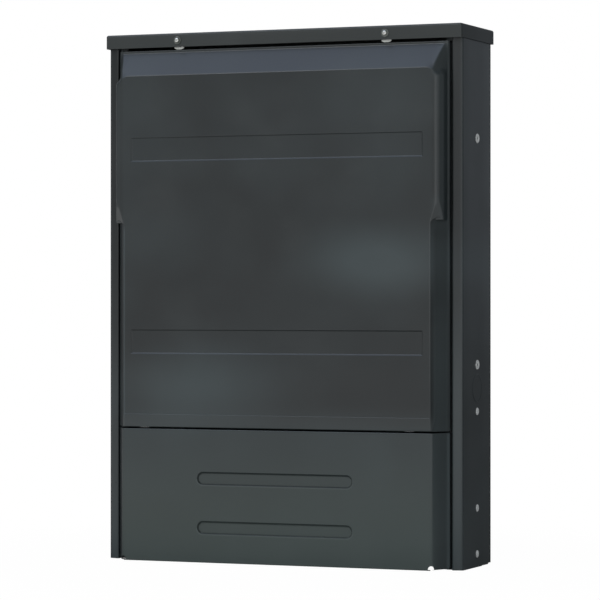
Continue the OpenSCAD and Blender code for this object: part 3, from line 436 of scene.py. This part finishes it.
def finished(name, mesh, material, wall, sharp):
    """Doubles merged and loose points dropped, the sheet given its wall, and smooth shading split
    where two faces meet at more than the sharp angle."""
    form = bmesh.new()
    form.from_mesh(mesh)
    bmesh.ops.remove_doubles(form, verts=form.verts, dist=2e-6)
    bmesh.ops.dissolve_degenerate(form, edges=form.edges, dist=1e-6)
    bmesh.ops.delete(form, geom=[v for v in form.verts if not v.link_faces], context="VERTS")
    form.to_mesh(mesh)
    form.free()
    piece = bpy.data.objects.new(name, mesh)
    bpy.context.scene.collection.objects.link(piece)
    mesh.materials.append(material)
    mesh.shade_smooth()
    if wall:
        piece.data = walled(piece, wall * MM)
    piece.data.set_sharp_from_angle(angle=math.radians(sharp))
    return piece


def walled(piece, wall):
    """The sheet's mesh with its inner side. Each inner point is its outer point plus the step that
    Solidify gives it, cut to one and a half walls and then to the box of the outer points."""
    sheet = piece.modifiers.new("sheet", "SOLIDIFY")
    sheet.thickness, sheet.offset, sheet.use_even_offset = wall, -1, True
    outer = len(piece.data.vertices)
    shape = bpy.data.meshes.new_from_object(piece.evaluated_get(bpy.context.evaluated_depsgraph_get()))
    piece.modifiers.clear()
    place = np.empty(len(shape.vertices) * 3)
    shape.vertices.foreach_get("co", place)
    place = place.reshape(-1, 3)
    step = place[outer:2 * outer] - place[:outer]
    far = np.linalg.norm(step, axis=1, keepdims=True)
    inner = place[:outer] + step * np.minimum(1, 1.5 * wall / np.maximum(far, 1e-9))
    place[outer:2 * outer] = np.clip(inner, place[:outer].min(axis=0), place[:outer].max(axis=0))
    shape.vertices.foreach_set("co", place.ravel())
    shape.update()
    return shape


def settled(piece, body, slot, *nodes):
    """A piece on its body, and the plain solids that it stands for hidden. The slot is not used."""
    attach(piece, body)
    if nodes:
        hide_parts(*nodes)


def ring_round(along, count):
    """Unit vectors at even angles round an axis: cosine of one side vector plus sine of the other."""
    side = np.cross(along, [0, 0, 1])
    side /= np.linalg.norm(side)
    angle = np.arange(count) * 2 * math.pi / count
    return np.cos(angle)[:, None] * side + np.sin(angle)[:, None] * np.cross(along, side)


def turned(name, profile, centre, along, material, steps=40):
    """A profile of (distance along the axis, radius) turned round a level axis through centre."""
    along = np.array(along, float)
    profile = np.array(profile, float)
    points = (np.array(centre, float) + profile[:, 0, None, None] * along
              + profile[:, 1, None, None] * ring_round(along, steps))
    return surface(name, points, material, closed=True)


def joined(name, pieces):
    """Several meshes of one finish as one piece."""
    form = bmesh.new()
    for piece in pieces:
        form.from_mesh(piece.data)
    mesh = bpy.data.meshes.new(name)
    form.to_mesh(mesh)
    form.free()
    mesh.materials.append(pieces[0].data.materials[0])
    for piece in pieces:
        bpy.data.objects.remove(piece)
    whole = bpy.data.objects.new(name, mesh)
    bpy.context.scene.collection.objects.link(whole)
    return whole


def mirrored(name, piece):
    """The same mesh with x turned to minus x and its faces turned back outwards."""
    mesh = piece.data.copy()
    place = np.empty(len(mesh.vertices) * 3)
    mesh.vertices.foreach_get("co", place)
    place.reshape(-1, 3)[:, 0] *= -1
    mesh.vertices.foreach_set("co", place)
    mesh.flip_normals()
    twin = bpy.data.objects.new(name, mesh)
    bpy.context.scene.collection.objects.link(twin)
    return twin


# Door and base cover: trays folded from one sheet

side_back = np.array([[300.3, BACK], [300.3, -56.0], [300.3, -61.4], [298.6, -63.8]])


def to_inner(x, y):
    """Four even steps from x to the half plan's inner end, at one depth."""
    return np.column_stack([np.linspace(x, INNER, 5)[1:], np.full(4, y)])


def held_back(nose, y):
    """A half plan with what lies in front of a depth moved back to it."""
    return np.column_stack([nose[:, 0], np.maximum(nose[:, 1], y)])


def return_half(nose, y):
    """Half a row of a folded return: every point at one depth, at the x that the plan has there."""
    whole = np.concatenate([side_back, nose])
    order = np.argsort(whole[:, 1], kind="stable")
    x = np.interp(y, whole[order, 1], whole[order, 0])
    return np.tile([x, y], (len(whole), 1))


def rounded_off(nose, y):
    """A half plan cut off at a depth that it meets in a quarter ellipse, 3 mm wide: x follows the
    cosine and y the sine of an even angle."""
    fine = resampled(nose, np.linspace(0, 1, 500))
    cut = fine[fine[:, 1] >= y]
    wide, room = 3.0, FLANGE[1] - y
    wall = cut[cut[:, 1] >= y + wide] if room > wide else cut[:1]
    wall = resampled(wall, np.linspace(0, 1, 5)) if len(wall) > 1 else np.tile(wall[:1], (5, 1))
    first, last_x = wall[-1], cut[-1, 0] - wide
    t = np.linspace(0, 1, len(nose) - 8)[1:] * math.pi / 2
    turn = np.column_stack([last_x + (first[0] - last_x) * np.cos(t), first[1] + (y - first[1]) * np.sin(t)])
    return np.concatenate([wall, turn, to_inner(last_x, y)])


def tray(side, plan, columns, returns, dent, place, drop, mitre=None):
    """A folded tray. Each row is one height of the side path (y, z). Its columns run from the back
    edge of the right wall along the plan's half path to the face, across, and back along the left
    wall. Where the side path lies behind the face, the half path is rounded off at that depth; a
    mitre, where there is one, gives the half path near the slope. The rows in returns have no side
    walls. Dent moves the face back, place gives each point's height, and drop leaves cells out."""
    rows = []
    for k, (y, z) in enumerate(side):
        nose = plan(z)
        if k in returns:
            half = return_half(nose, y)
        elif mitre and z > SLOPE_START:
            half = np.concatenate([side_back, mitre(nose, y, z)])
        elif y <= FACE + 0.6 or z < 3:
            half = np.concatenate([side_back, held_back(nose, y)])
        else:
            half = np.concatenate([side_back, rounded_off(nose, y)])
        across = np.column_stack([columns[::-1], np.full(len(columns), max(y, FACE))])
        row = np.concatenate([half, across, (half * [-1, 1])[::-1]])
        rows.append(np.column_stack([row, np.full(len(row), z)]))
    points = np.array(rows)
    folded = np.array([k in returns for k in range(len(side))])
    walls = np.ones(points.shape[1] - 1, bool)
    walls[len(half) - 1:1 - len(half)] = False
    keep = ~((folded[:-1] | folded[1:])[:, None] & walls)
    points[..., 1] += dent(points[..., 0], points[..., 2]) * (points[..., 1] < FACE + 0.3)
    points[..., 2] = place(points)
    keep &= ~drop((points[:-1, :-1] + points[1:, 1:]) / 2)
    return points, keep


# Door: round corners flattened down to the grips, a creased bevel below them, a mitred slope on top

door_high = np.concatenate([between(FLANGE, (297.5, -80.8), 3),
                            rounded([FLANGE, (297.5, FACE), (283.0, FACE)], [14.2], 17)[1:-1],
                            [(281.6, FACE), (279.9, FACE), (278.2, FACE), (276.4, FACE)],
                            to_inner(276.4, FACE)])
low_path = rounded([FLANGE, (284.4, -87.4), (277.5, FACE), (270.0, FACE)], [3.0, 3.4], 8)
low_run = lengths(low_path)
marks = [0, low_run[1], low_run[8], low_run[9], low_run[16]]
low_steps = [between(p, q, n) for p, q, n in zip(marks, marks[1:], (5, 6, 5, 7))] + [[marks[-1]]]
door_low = resampled(low_path, np.concatenate(low_steps) / low_run[-1])
door_low = np.concatenate([door_low, to_inner(door_low[-1, 0], FACE)])


def flattened(depth):
    """The round corner cut by a plane that has sunk into it by a depth: each point moves along the
    plane's normal by how far it lies outside."""
    facing = np.array([0.516, -0.856])
    sink = np.maximum(door_high @ facing - (229.5 - depth), 0)
    return door_high - sink[:, None] * facing


ledge_x = flattened(FACET_DEPTH)[:, 0]


def ledge_climb(rim, z):
    """How far the grip's ledge and the rows near it are lifted: by their x at the ledge, falling off
    like a bell over 14 mm above it and 10 mm below."""
    climb = np.interp(rim, [277.8, 281, 286, 291, 293.5, 297.5], [0, 4.2, 7.8, 9.2, 8.6, 4.0])
    return climb * np.exp(-((z - LEDGE) / np.where(z > LEDGE, 14, 10)) ** 2)


def door_plan(z):
    """The half plan at a height: a round corner above the grip, flattened through it by a plane that
    sinks evenly from the facet's top down, and the creased bevel below the ledge."""
    if z < LEDGE:
        return door_low
    fall = FACET_TOP - z - ledge_climb(ledge_x, z)
    return flattened(FACET_DEPTH * np.clip(fall / FACET_FALL, 0, 1))


def door_mitre(nose, y, z):
    """Towards the slope the round corner gives way to a wall that leans in to a softly bent mitre:
    its foot stays on the flange and its edge runs out from 284.2 to 291.8 mm up the slope."""
    lean = smooth(SLOPE_START, 828, z)
    edge = 284.2 + 7.6 * np.clip((z - 826) / 41, 0, 1)
    bend = rounded([FLANGE, (edge, y), (INNER, y)], [7.0], 13)[1:-1]
    leaning = np.concatenate([between(FLANGE, bend[0], 6), resampled(bend, np.linspace(0, 1, len(nose) - 10)),
                              to_inner(bend[-1, 0], y)])
    return held_back(nose, y) * (1 - lean) + leaning * lean


def label_dents(x, z):
    """Two label fields set back: their depth times how far a point is inside each edge, every edge
    a short straight slope."""
    wide = np.clip((LABEL_HALF - np.abs(x)) / 2.2, 0, 1)
    high = sum(np.minimum(np.clip((z - low) / 2.0, 0, 1), np.clip((top - z) / 1.6, 0, 1))
               for low, top in LABEL_FIELDS)
    return LABEL_DEPTH * wide * high


def door_heights(points):
    """The slope's lower bend dips 5.2 mm towards the corners, and the grip's ledge climbs 9 mm from
    its inner end to the facet's outer edge and drops again along the wall."""
    x, y, z = np.abs(points[..., 0]), points[..., 1], points[..., 2]
    dip = 5.2 * smooth(272, 285.5, x) * np.exp(-((z - 826.6) / 8) ** 2) * smooth(-84, -90, y)
    rim = x[int(np.argmin(abs(z[:, 0] - LEDGE - 0.1)))]
    return z - dip + ledge_climb(rim, z)


def door_slots(p):
    """Cells left out of the bottom return, for the two shoes of the pivot."""
    return (p[..., 2] < DOOR_FOOT + 0.2) & (p[..., 1] > -93) & (abs(abs(p[..., 0]) - 240) < 11)


label_levels = [run for low, top in LABEL_FIELDS for run in ((low, low + 2.2, 7), (top - 2.0, top + 0.2, 7))]
door_levels = stops((253, 353, 6), (356, 392, 4), (395, 560, 5), (566.0, 571.4, 6), (571.8, 572.2, 2),
                    (572.6, 576, 4), (576.5, 604, 15), (604, 612, 3), (612, 680, 3), (683, 719, 3),
                    (722, 810, 4), (813, 822, 6), *label_levels)
door_bottom = [(BACK, DOOR_FOOT), (-56, DOOR_FOOT), (-61.4, DOOR_FOOT), (-63.8, DOOR_FOOT)]
door_bend = rounded([(BACK, DOOR_FOOT), (-94.1, DOOR_FOOT), (-94.95, 249.4)], [1.4], 6)[1:]
door_crease = [(-95.0, 249.9), (-94.86, 250.4), (-94.50, 251.2), (-94.46, 251.9)]
door_front = np.column_stack([np.interp(door_levels, [253, 330], [-94.47, FACE]), door_levels])
door_top = rounded([(FACE, 823), (FACE, 826.6), (-65.5, 867), (-65.5, DOOR_HEAD), (BACK, DOOR_HEAD)],
                   [3.4, 3.0, 1.2], 6)
door_side = np.concatenate([door_bottom, door_bend, door_crease, door_front, dense(door_top, 3.0)])
door_columns = stops((-265.4, -262.6, 9), (-262, 262, 21), (262.6, 265.4, 9))
returns = {k for k, (y, z) in enumerate(door_side)
           if (z < DOOR_FOOT + 1 and y > -92) or (z > DOOR_HEAD - 1.5 and y > -64.9)}
points, keep = tray(door_side, door_plan, door_columns, returns, label_dents, door_heights, door_slots,
                    mitre=door_mitre)
settled(surface("door_skin", points, cabinet_coat, keep=keep, flip=True, wall=SHEET, sharp=30),
        "front_door", "cabinet_coat", "door")


# Base cover: two pressed ribs, round relief notches at the foot

base_path = rounded([FLANGE, (281.5, FACE), (INNER, FACE)], [6.0], 11)
base_run = lengths(base_path)
notch_at = float(np.interp(-NOTCH_X, -base_path[:, 0], base_run))
notch_steps = np.concatenate([[-6.9], NOTCH_RADIUS * -np.cos(np.linspace(0, np.pi, 21)), [6.9]])
base_stops = np.concatenate([np.linspace(0, notch_at - 7.2, 5), notch_at + notch_steps,
                             [base_run[-1] - 2, base_run[-1]]])
base_nose = resampled(base_path, np.sort(base_stops) / base_run[-1])


def base_plan(z):
    """The half plan of the base cover is the same at every height."""
    return base_nose


def pill_dents(x, z):
    """Two long ribs with round ends pressed back: a capsule's distance, made a slope that is steeper
    along the lower half."""
    depth = 0
    for middle in RIB_MIDDLES:
        far = np.hypot(np.maximum(np.abs(x) - RIB_HALF, 0), z - middle)
        slope = 2.0 + 0.8 * np.clip((z - middle) / 3, -1, 1)
        depth = depth + RIB_DEPTH * np.clip((RIB_RADIUS - far) / slope, 0, 1)
    return depth


def notch_rise(x):
    """How far along the sheet a place lies from the nearer round notch, and the notch's height
    there: the square root of its radius squared less that distance squared."""
    along = np.interp(-np.abs(x), -base_path[:, 0], base_run) - notch_at
    along = np.where(np.abs(x) > FLANGE[0] + 0.1, -20.0, along)
    return along, np.sqrt(np.maximum(NOTCH_RADIUS ** 2 - along ** 2, 0))


def relief_notches(points):
    """Above the lip the sheet rises over each round notch, and by 4 mm at the back corner; the rise
    fades out 24 mm up."""
    x, y, z = points[..., 0], points[..., 1], points[..., 2]
    rise = notch_rise(x)[1] * (z > LIP + 0.1) + 4.0 * smooth(-64.2, -62.0, y)
    return z + rise * np.clip(1 - (z - 1) / 24, 0, 1) * (z < 25)


def base_openings(p):
    """Cells left out of the base cover: the bottom return near the corners, the round notches and
    their narrow slots through the lip."""
    along, rise = notch_rise(p[..., 0])
    hole = (rise > 0) & (p[..., 2] > LIP + 0.02) & (p[..., 2] < 3.0 + 0.75 * rise)
    slot = (np.abs(along + 0.6) < 2.6) & (p[..., 2] < LIP + 0.08)
    back = (p[..., 2] < LIP - 0.1) & (p[..., 1] > -93.4) & (np.abs(p[..., 0]) > 272)
    return hole | slot | back


rib_levels = [(middle - 11.2, middle + 11.2, 26) for middle in RIB_MIDDLES]
base_levels = stops((LIP, LIP + 0.2, 2), (4, 9, 3), (9, 25, 5), (26, 46, 3), (74, 129, 4), (157, 222, 4),
                    *rib_levels)
base_columns = stops((-266, -142, 7), (-141.2, -129.5, 15), (-128, 128, 15), (129.5, 141.2, 15),
                     (142, 266, 7))
base_bend = rounded([(-80, BASE_FOOT), (FACE, BASE_FOOT), (FACE, BASE_HEAD), (BACK, BASE_HEAD)],
                    [1.4, 1.0], 5)
base_top = [(-63.8, BASE_HEAD), (-61.4, BASE_HEAD), (-56, BASE_HEAD), (BACK, BASE_HEAD)]
base_side = np.concatenate([base_bend[base_bend[:, 1] < 3],
                            np.column_stack([np.full(len(base_levels), FACE), base_levels]),
                            base_bend[base_bend[:, 1] > 223.5][:-1], base_top])
returns = {k for k, (y, z) in enumerate(base_side)
           if (z < BASE_FOOT + 1 and y > -93) or (z > BASE_HEAD - 1 and y > -92)}
points, keep = tray(base_side, base_plan, base_columns, returns, pill_dents, relief_notches, base_openings)
settled(surface("base_skin", points, cabinet_coat, keep=keep, flip=True, wall=SHEET, sharp=30),
        "base_panel", "cabinet_coat", "base_cover")


# Side panels with the folded front posts

fold = [(307, 81.5), (SIDE_FACE, 81.5), (SIDE_FACE, -57), (303.7, -62), (303.7, -50), (290.5, -50)]
post_path = rounded(fold, [2.0, 3.5, 2.6, 2.0], 7)[::-1]
long_wall = [(SIDE_FACE, -20), (SIDE_FACE, 37.9), (SIDE_FACE, 38.1)]
post_path = np.concatenate([post_path[:-8], long_wall, post_path[-8:]])
post_levels = stops((0, 8, 4), (8, 897, 12))
points = np.concatenate([np.tile(post_path, (len(post_levels), 1, 1)),
                         np.tile(post_levels[:, None, None], (1, len(post_path), 1))], axis=2)
behind_step = (points[..., 1] > 38) & (points[..., 2] < 7)
points[..., 2] = np.where(behind_step, 2.5 + points[..., 2] * (7 - 2.5) / 7, points[..., 2])
side_right = surface("side_sheet_right", points, cabinet_coat, wall=PANEL, sharp=28)
side_left = mirrored("side_sheet_left", side_right)
settled(side_right, "cabinet", "cabinet_coat", "side_panel_right")
settled(side_left, "cabinet", "cabinet_coat", "side_panel_left")


# Roof: a folded cap with round edges

def cap_ring(inset, z, r):
    """A rounded rectangle: the roof's outline moved in by inset, its corners arcs of radius r."""
    x, y0, y1 = ROOF_HALF - inset, ROOF_FRONT + inset, ROOF_BACK - inset
    corners = [(x - r, y1 - r, 0), (-x + r, y1 - r, 1), (-x + r, y0 + r, 2), (x - r, y0 + r, 3)]
    turn = np.linspace(0, math.pi / 2, 7)
    ring = [np.stack([cx + r * np.cos(turn + q * math.pi / 2), cy + r * np.sin(turn + q * math.pi / 2),
                      np.full(7, z)], axis=1) for cx, cy, q in corners]
    return np.concatenate(ring)


rings = [cap_ring(0, z, 3.0) for z in (876.4, 880, 890, ROOF_TOP - ROOF_EDGE)]
for t in np.linspace(0, math.pi / 2, 8)[1:]:
    up, over = ROOF_EDGE * math.sin(t), 1 - math.cos(t)
    rings.append(cap_ring(ROOF_EDGE * over, ROOF_TOP - ROOF_EDGE + up, max(3.0 - 2.2 * over, 0.5)))
rings.append(cap_ring(20, ROOF_TOP, 0.5))
settled(surface("roof_cap", np.array(rings), roof_coat, closed=True, capped=True, wall=SHEET),
        "roof_cover", "roof_coat", "roof")


# Screws, knock-outs and pins

def hexagon(radius, count):
    """Distance from the middle to a hexagon's edge at even angles: the flat's distance over the
    cosine of the angle to it."""
    angle = (np.arange(count) * 2 * math.pi / count) % (math.pi / 3) - math.pi / 6
    return radius * math.cos(math.pi / 6) / np.cos(angle)


def nut(name, centre, along, radius, height, hole, material):
    """A hexagon ring: an outer hexagon and an inner circle joined by two flat ends."""
    edge, bore = hexagon(radius, 36)[:, None], np.full((36, 1), hole)
    rows = [(0, bore), (0, edge * 0.94), (0.5, edge), (height - 0.5, edge), (height, edge * 0.94),
            (height, bore), (0, bore)]
    along = np.array(along, float)
    points = np.array([np.array(centre, float) + h * along + r * ring_round(along, 36) for h, r in rows])
    return surface(name, points, material, closed=True)


washer_profile = [(-0.5, 3.4), (-0.5, 6.6), (0.1, 6.9), (0.8, 6.5), (1.0, 5.8), (0.7, 4.6), (0.6, 3.4),
                  (-0.5, 3.4)]
lock_profile = [(-13.5, 0.0), (-13.5, 2.6), (-13.0, 3.0), (-8.9, 3.0), (-8.9, 5.0), (-3.0, 5.0), (-3.0, 3.0),
                (-0.3, 3.0), (-0.3, 3.9), (0.2, 4.1), (1.0, 4.05), (1.9, 3.8), (2.6, 3.2), (2.95, 2.4),
                (2.9, 1.5), (1.4, 1.3), (1.3, 0.0)]
big_head = [(-0.3, 2.9), (-0.3, 7.8), (0.3, 8.0), (1.1, 7.7), (1.75, 6.9), (1.9, 6.2), (1.6, 5.4), (0.9, 4.9),
            (0.75, 4.0), (0.95, 3.2), (0.9, 2.6), (-0.2, 2.5), (-0.2, 0.0)]
small_head = [(-0.3, 2.9), (-0.3, 6.1), (0.4, 6.25), (1.1, 5.7), (1.6, 4.7), (1.9, 3.4), (1.95, 2.6),
              (1.7, 2.3), (0.6, 2.2), (0.5, 0.0)]


def lock_screw(side, hand):
    """A lock screw from tip to domed head with its socket, and the washer under the head."""
    x, body, forwards = side * LOCK_X, f"{hand}_lock", (0, -1, 0)
    washer = turned(f"washer_{body}", washer_profile, (x, -69.5, LOCK_Z), forwards, aged_plating)
    screw = turned(f"screw_{body}", lock_profile, (x, -70.3, LOCK_Z), forwards, zinc_plating, steps=36)
    settled(washer, body, "zinc_plating", f"lock_washer_{hand}")
    settled(screw, body, "zinc_plating", f"lock_screw_{hand}")


def side_screw(z, head, seat):
    """On both sides, a screw from its tip to its dished head, and the nut that seats on the face at
    x seat: the tip stands 4 mm out of the nut."""
    tip, nut_height = seat - SIDE_FACE - 9, 5
    profile = [(tip, 0.0), (tip, 2.6), (tip + 0.5, 3.0)] + head
    pieces = []
    for s in (-1, 1):
        outwards, face, inside = (s, 0, 0), s * SIDE_FACE, s * (seat - nut_height)
        pieces.append(turned("screw", profile, (face, SCREW_Y, z), outwards, side_plating, steps=32))
        pieces.append(nut("nut", (inside, SCREW_Y, z), outwards, 5.8, nut_height, 3.05, side_plating))
    return pieces


lock_screw(1, "right")
lock_screw(-1, "left")

upper = [(714, big_head, 318), (337, big_head, 318)]
lower = [(259.5, small_head, 320), (98.5, small_head, 320), (22, small_head, 317.5)]
for node, screws in (("side_screws_upper", upper), ("side_screws_lower", lower)):
    pieces = [piece for screw in screws for piece in side_screw(*screw)]
    settled(joined(node + "_look", pieces), "cabinet", "zinc_plating", node)

knockout_ring = [(-0.3, 24.0), (0.0, 23.8), (0.42, 23.4), (0.5, 23.0), (0.5, 22.2), (0.12, 21.8), (0.1, 0.0)]
pieces = [turned("knockout", knockout_ring, (s * SIDE_FACE, SCREW_Y, KNOCKOUT_Z), (s, 0, 0), cabinet_coat,
                 steps=64) for s in (-1, 1)]
settled(joined("knockouts", pieces), "cabinet", "cabinet_coat")

pin_profile, pin_aim = [(-0.3, 1.3), (0.12, 1.1), (0.15, 0.7), (0.0, 0.0)], (-0.264, -0.965, 0)
pieces = [turned("pin", pin_profile, (-309.6, -60.6, z), pin_aim, switch_housing, steps=16)
          for z in (239, 130)]
settled(joined("post_pins", pieces), "cabinet", "cabinet_coat")


# Finishes of the plain solids that stay

plain = {"cabinet_coat": inner_coat, "roof_coat": roof_coat, "galvanised_steel": galvanised_steel,
         "zinc_plating": zinc_plating, "copper": copper, "insulator_red": insulator_red,
         "switch_housing": switch_housing, "switch_lid": switch_lid, "fuse_ceramic": fuse_ceramic,
         "clamp_plastic": clamp_plastic, "pocket_plastic": pocket_plastic}
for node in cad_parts.values():
    for place in node.material_slots:
        name = place.material.name.split(".")[0] if place.material else ""
        place.material = plain.get(name, inner_coat)


# Studio: camera, lamps, pale room and floor

camera = bpy.data.objects.new("camera", bpy.data.cameras.new("camera"))
camera.data.lens, camera.data.sensor_width = 180.1, 36.0
camera.data.clip_start, camera.data.clip_end = 0.1, 100.0
camera.location = (1.9483, -4.7226, 0.4448)
camera.rotation_euler = (math.pi / 2, 0, math.asin(0.37994))
bpy.context.scene.collection.objects.link(camera)
bpy.context.scene.camera = camera
bpy.context.scene.view_settings.view_transform = "Standard"


class Sky(Finish):
    """The room's colour by the direction that a ray leaves in."""

    def __init__(self, world):
        world.use_nodes = True
        self.tree = world.node_tree
        self.place = self.node("ShaderNodeTexCoord", out="Generated")

    def lobe(self, direction, low, high):
        """1 along a direction, falling softly to 0 where the cosine to it drops below low."""
        aim = self.node("ShaderNodeVectorMath", {"operation": "DOT_PRODUCT"},
                        {0: self.place, 1: Vector(direction).normalized()}, out="Value")
        return aim.step(low, high)


# Each lobe of the room: its direction, the cosines where it starts and is full, its share, its colour
room_lobes = [((-0.30, -0.95, 0.15), 0.20, 0.98, 1.0, (0.42, 0.45, 0.46, 1)),
              ((-0.35, -0.30, 0.88), 0.72, 0.98, 1.0, (1.12, 1.30, 1.68, 1)),
              ((0.62, -0.785, 0.0), 0.90, 0.99, 1.0, (0.85, 0.92, 0.97, 1)),
              ((-0.35, 0.90, 0.25), 0.84, 0.99, 1.0, (0.90, 0.95, 0.98, 1)),
              ((0.99, 0.02, 0.0), 0.60, 0.95, 0.8, (0.30, 0.33, 0.33, 1)),
              ((0.38, 0.92, 0.0), 0.60, 0.95, 0.9, (0.21, 0.225, 0.25, 1))]
white = (1.0, 1.0, 1.0, 1.0)
world = bpy.data.worlds.new("studio")
bpy.context.scene.world = world
sky = Sky(world)
tones = (0.16, 0.17, 0.18, 1)
for direction, low, high, share, tint in room_lobes:
    tones = sky.blend(sky.lobe(direction, low, high) * share, tones, tint)
glossy = sky.ray("Glossy")
shown = sky.ray("Camera").highest(glossy).highest(sky.ray("Transmission"))
room = sky.blend(shown, (0.46, 0.48, 0.50, 1), sky.blend(glossy, white, tones))
light = sky.node("ShaderNodeBackground", None, {"Color": room, "Strength": 1.0})
sky.plug(sky.tree.nodes["World Output"].inputs["Surface"], light)


def softbox(name, place, target, width, height, power):
    """A rectangular studio lamp facing a point."""
    lamp = bpy.data.lights.new(name, "AREA")
    lamp.shape, lamp.size, lamp.size_y, lamp.energy = "RECTANGLE", width, height, power
    body = bpy.data.objects.new(name, lamp)
    body.location = place
    aim = Vector(target) - Vector(place)
    body.rotation_euler = aim.to_track_quat("-Z", "Y").to_euler()
    bpy.context.scene.collection.objects.link(body)


softbox("key_lamp", (-1.2, -2.6, 3.0), (0, 0, 0.5), 2.2, 1.6, 34)
softbox("front_lamp", (1.0, -3.6, 0.9), (0, 0, 0.4), 1.6, 1.6, 9)

# Floor: white to the camera, shaded to glossy rays before the cabinet, and it keeps the shadow
floor_mesh = bpy.data.meshes.new("floor")
floor_mesh.from_pydata([(-30, -30, 0), (30, -30, 0), (30, 30, 0), (-30, 30, 0)], [], [(0, 1, 2, 3)])
floor = bpy.data.objects.new("floor", floor_mesh)
bpy.context.scene.collection.objects.link(floor)
ground = Finish("pale_floor", Base_Color=(0.9, 0.9, 0.9, 1), Roughness=0.9, Specular_IOR_Level=0.0)
distance = ground.node("ShaderNodeVectorMath", {"operation": "LENGTH"}, {0: ground.place}, out="Value")
before = (0.0 - 0.38 * ground.axis("X") - 0.925 * ground.axis("Y")).step(0.05, 0.9)
glossy = ground.ray("Glossy")
paper = ground.node("ShaderNodeEmission", None, {"Color": white, "Strength": 1.0})
shade = ground.node("ShaderNodeEmission", None, {"Color": white, "Strength": 0.06 + 0.98 * before})
lit = ground.node("ShaderNodeMixShader", None, {0: glossy, 1: paper, 2: shade})
cover = ground.ray("Camera") * (0.985 + 0.015 * distance.step(0.45, 1.1)) + glossy
body = Signal(ground, ground.shader.outputs[0])
both = ground.node("ShaderNodeMixShader", None, {0: cover, 1: body, 2: lit})
ground.plug(ground.tree.nodes["Material Output"].inputs["Surface"], both)
floor_mesh.materials.append(ground.material)
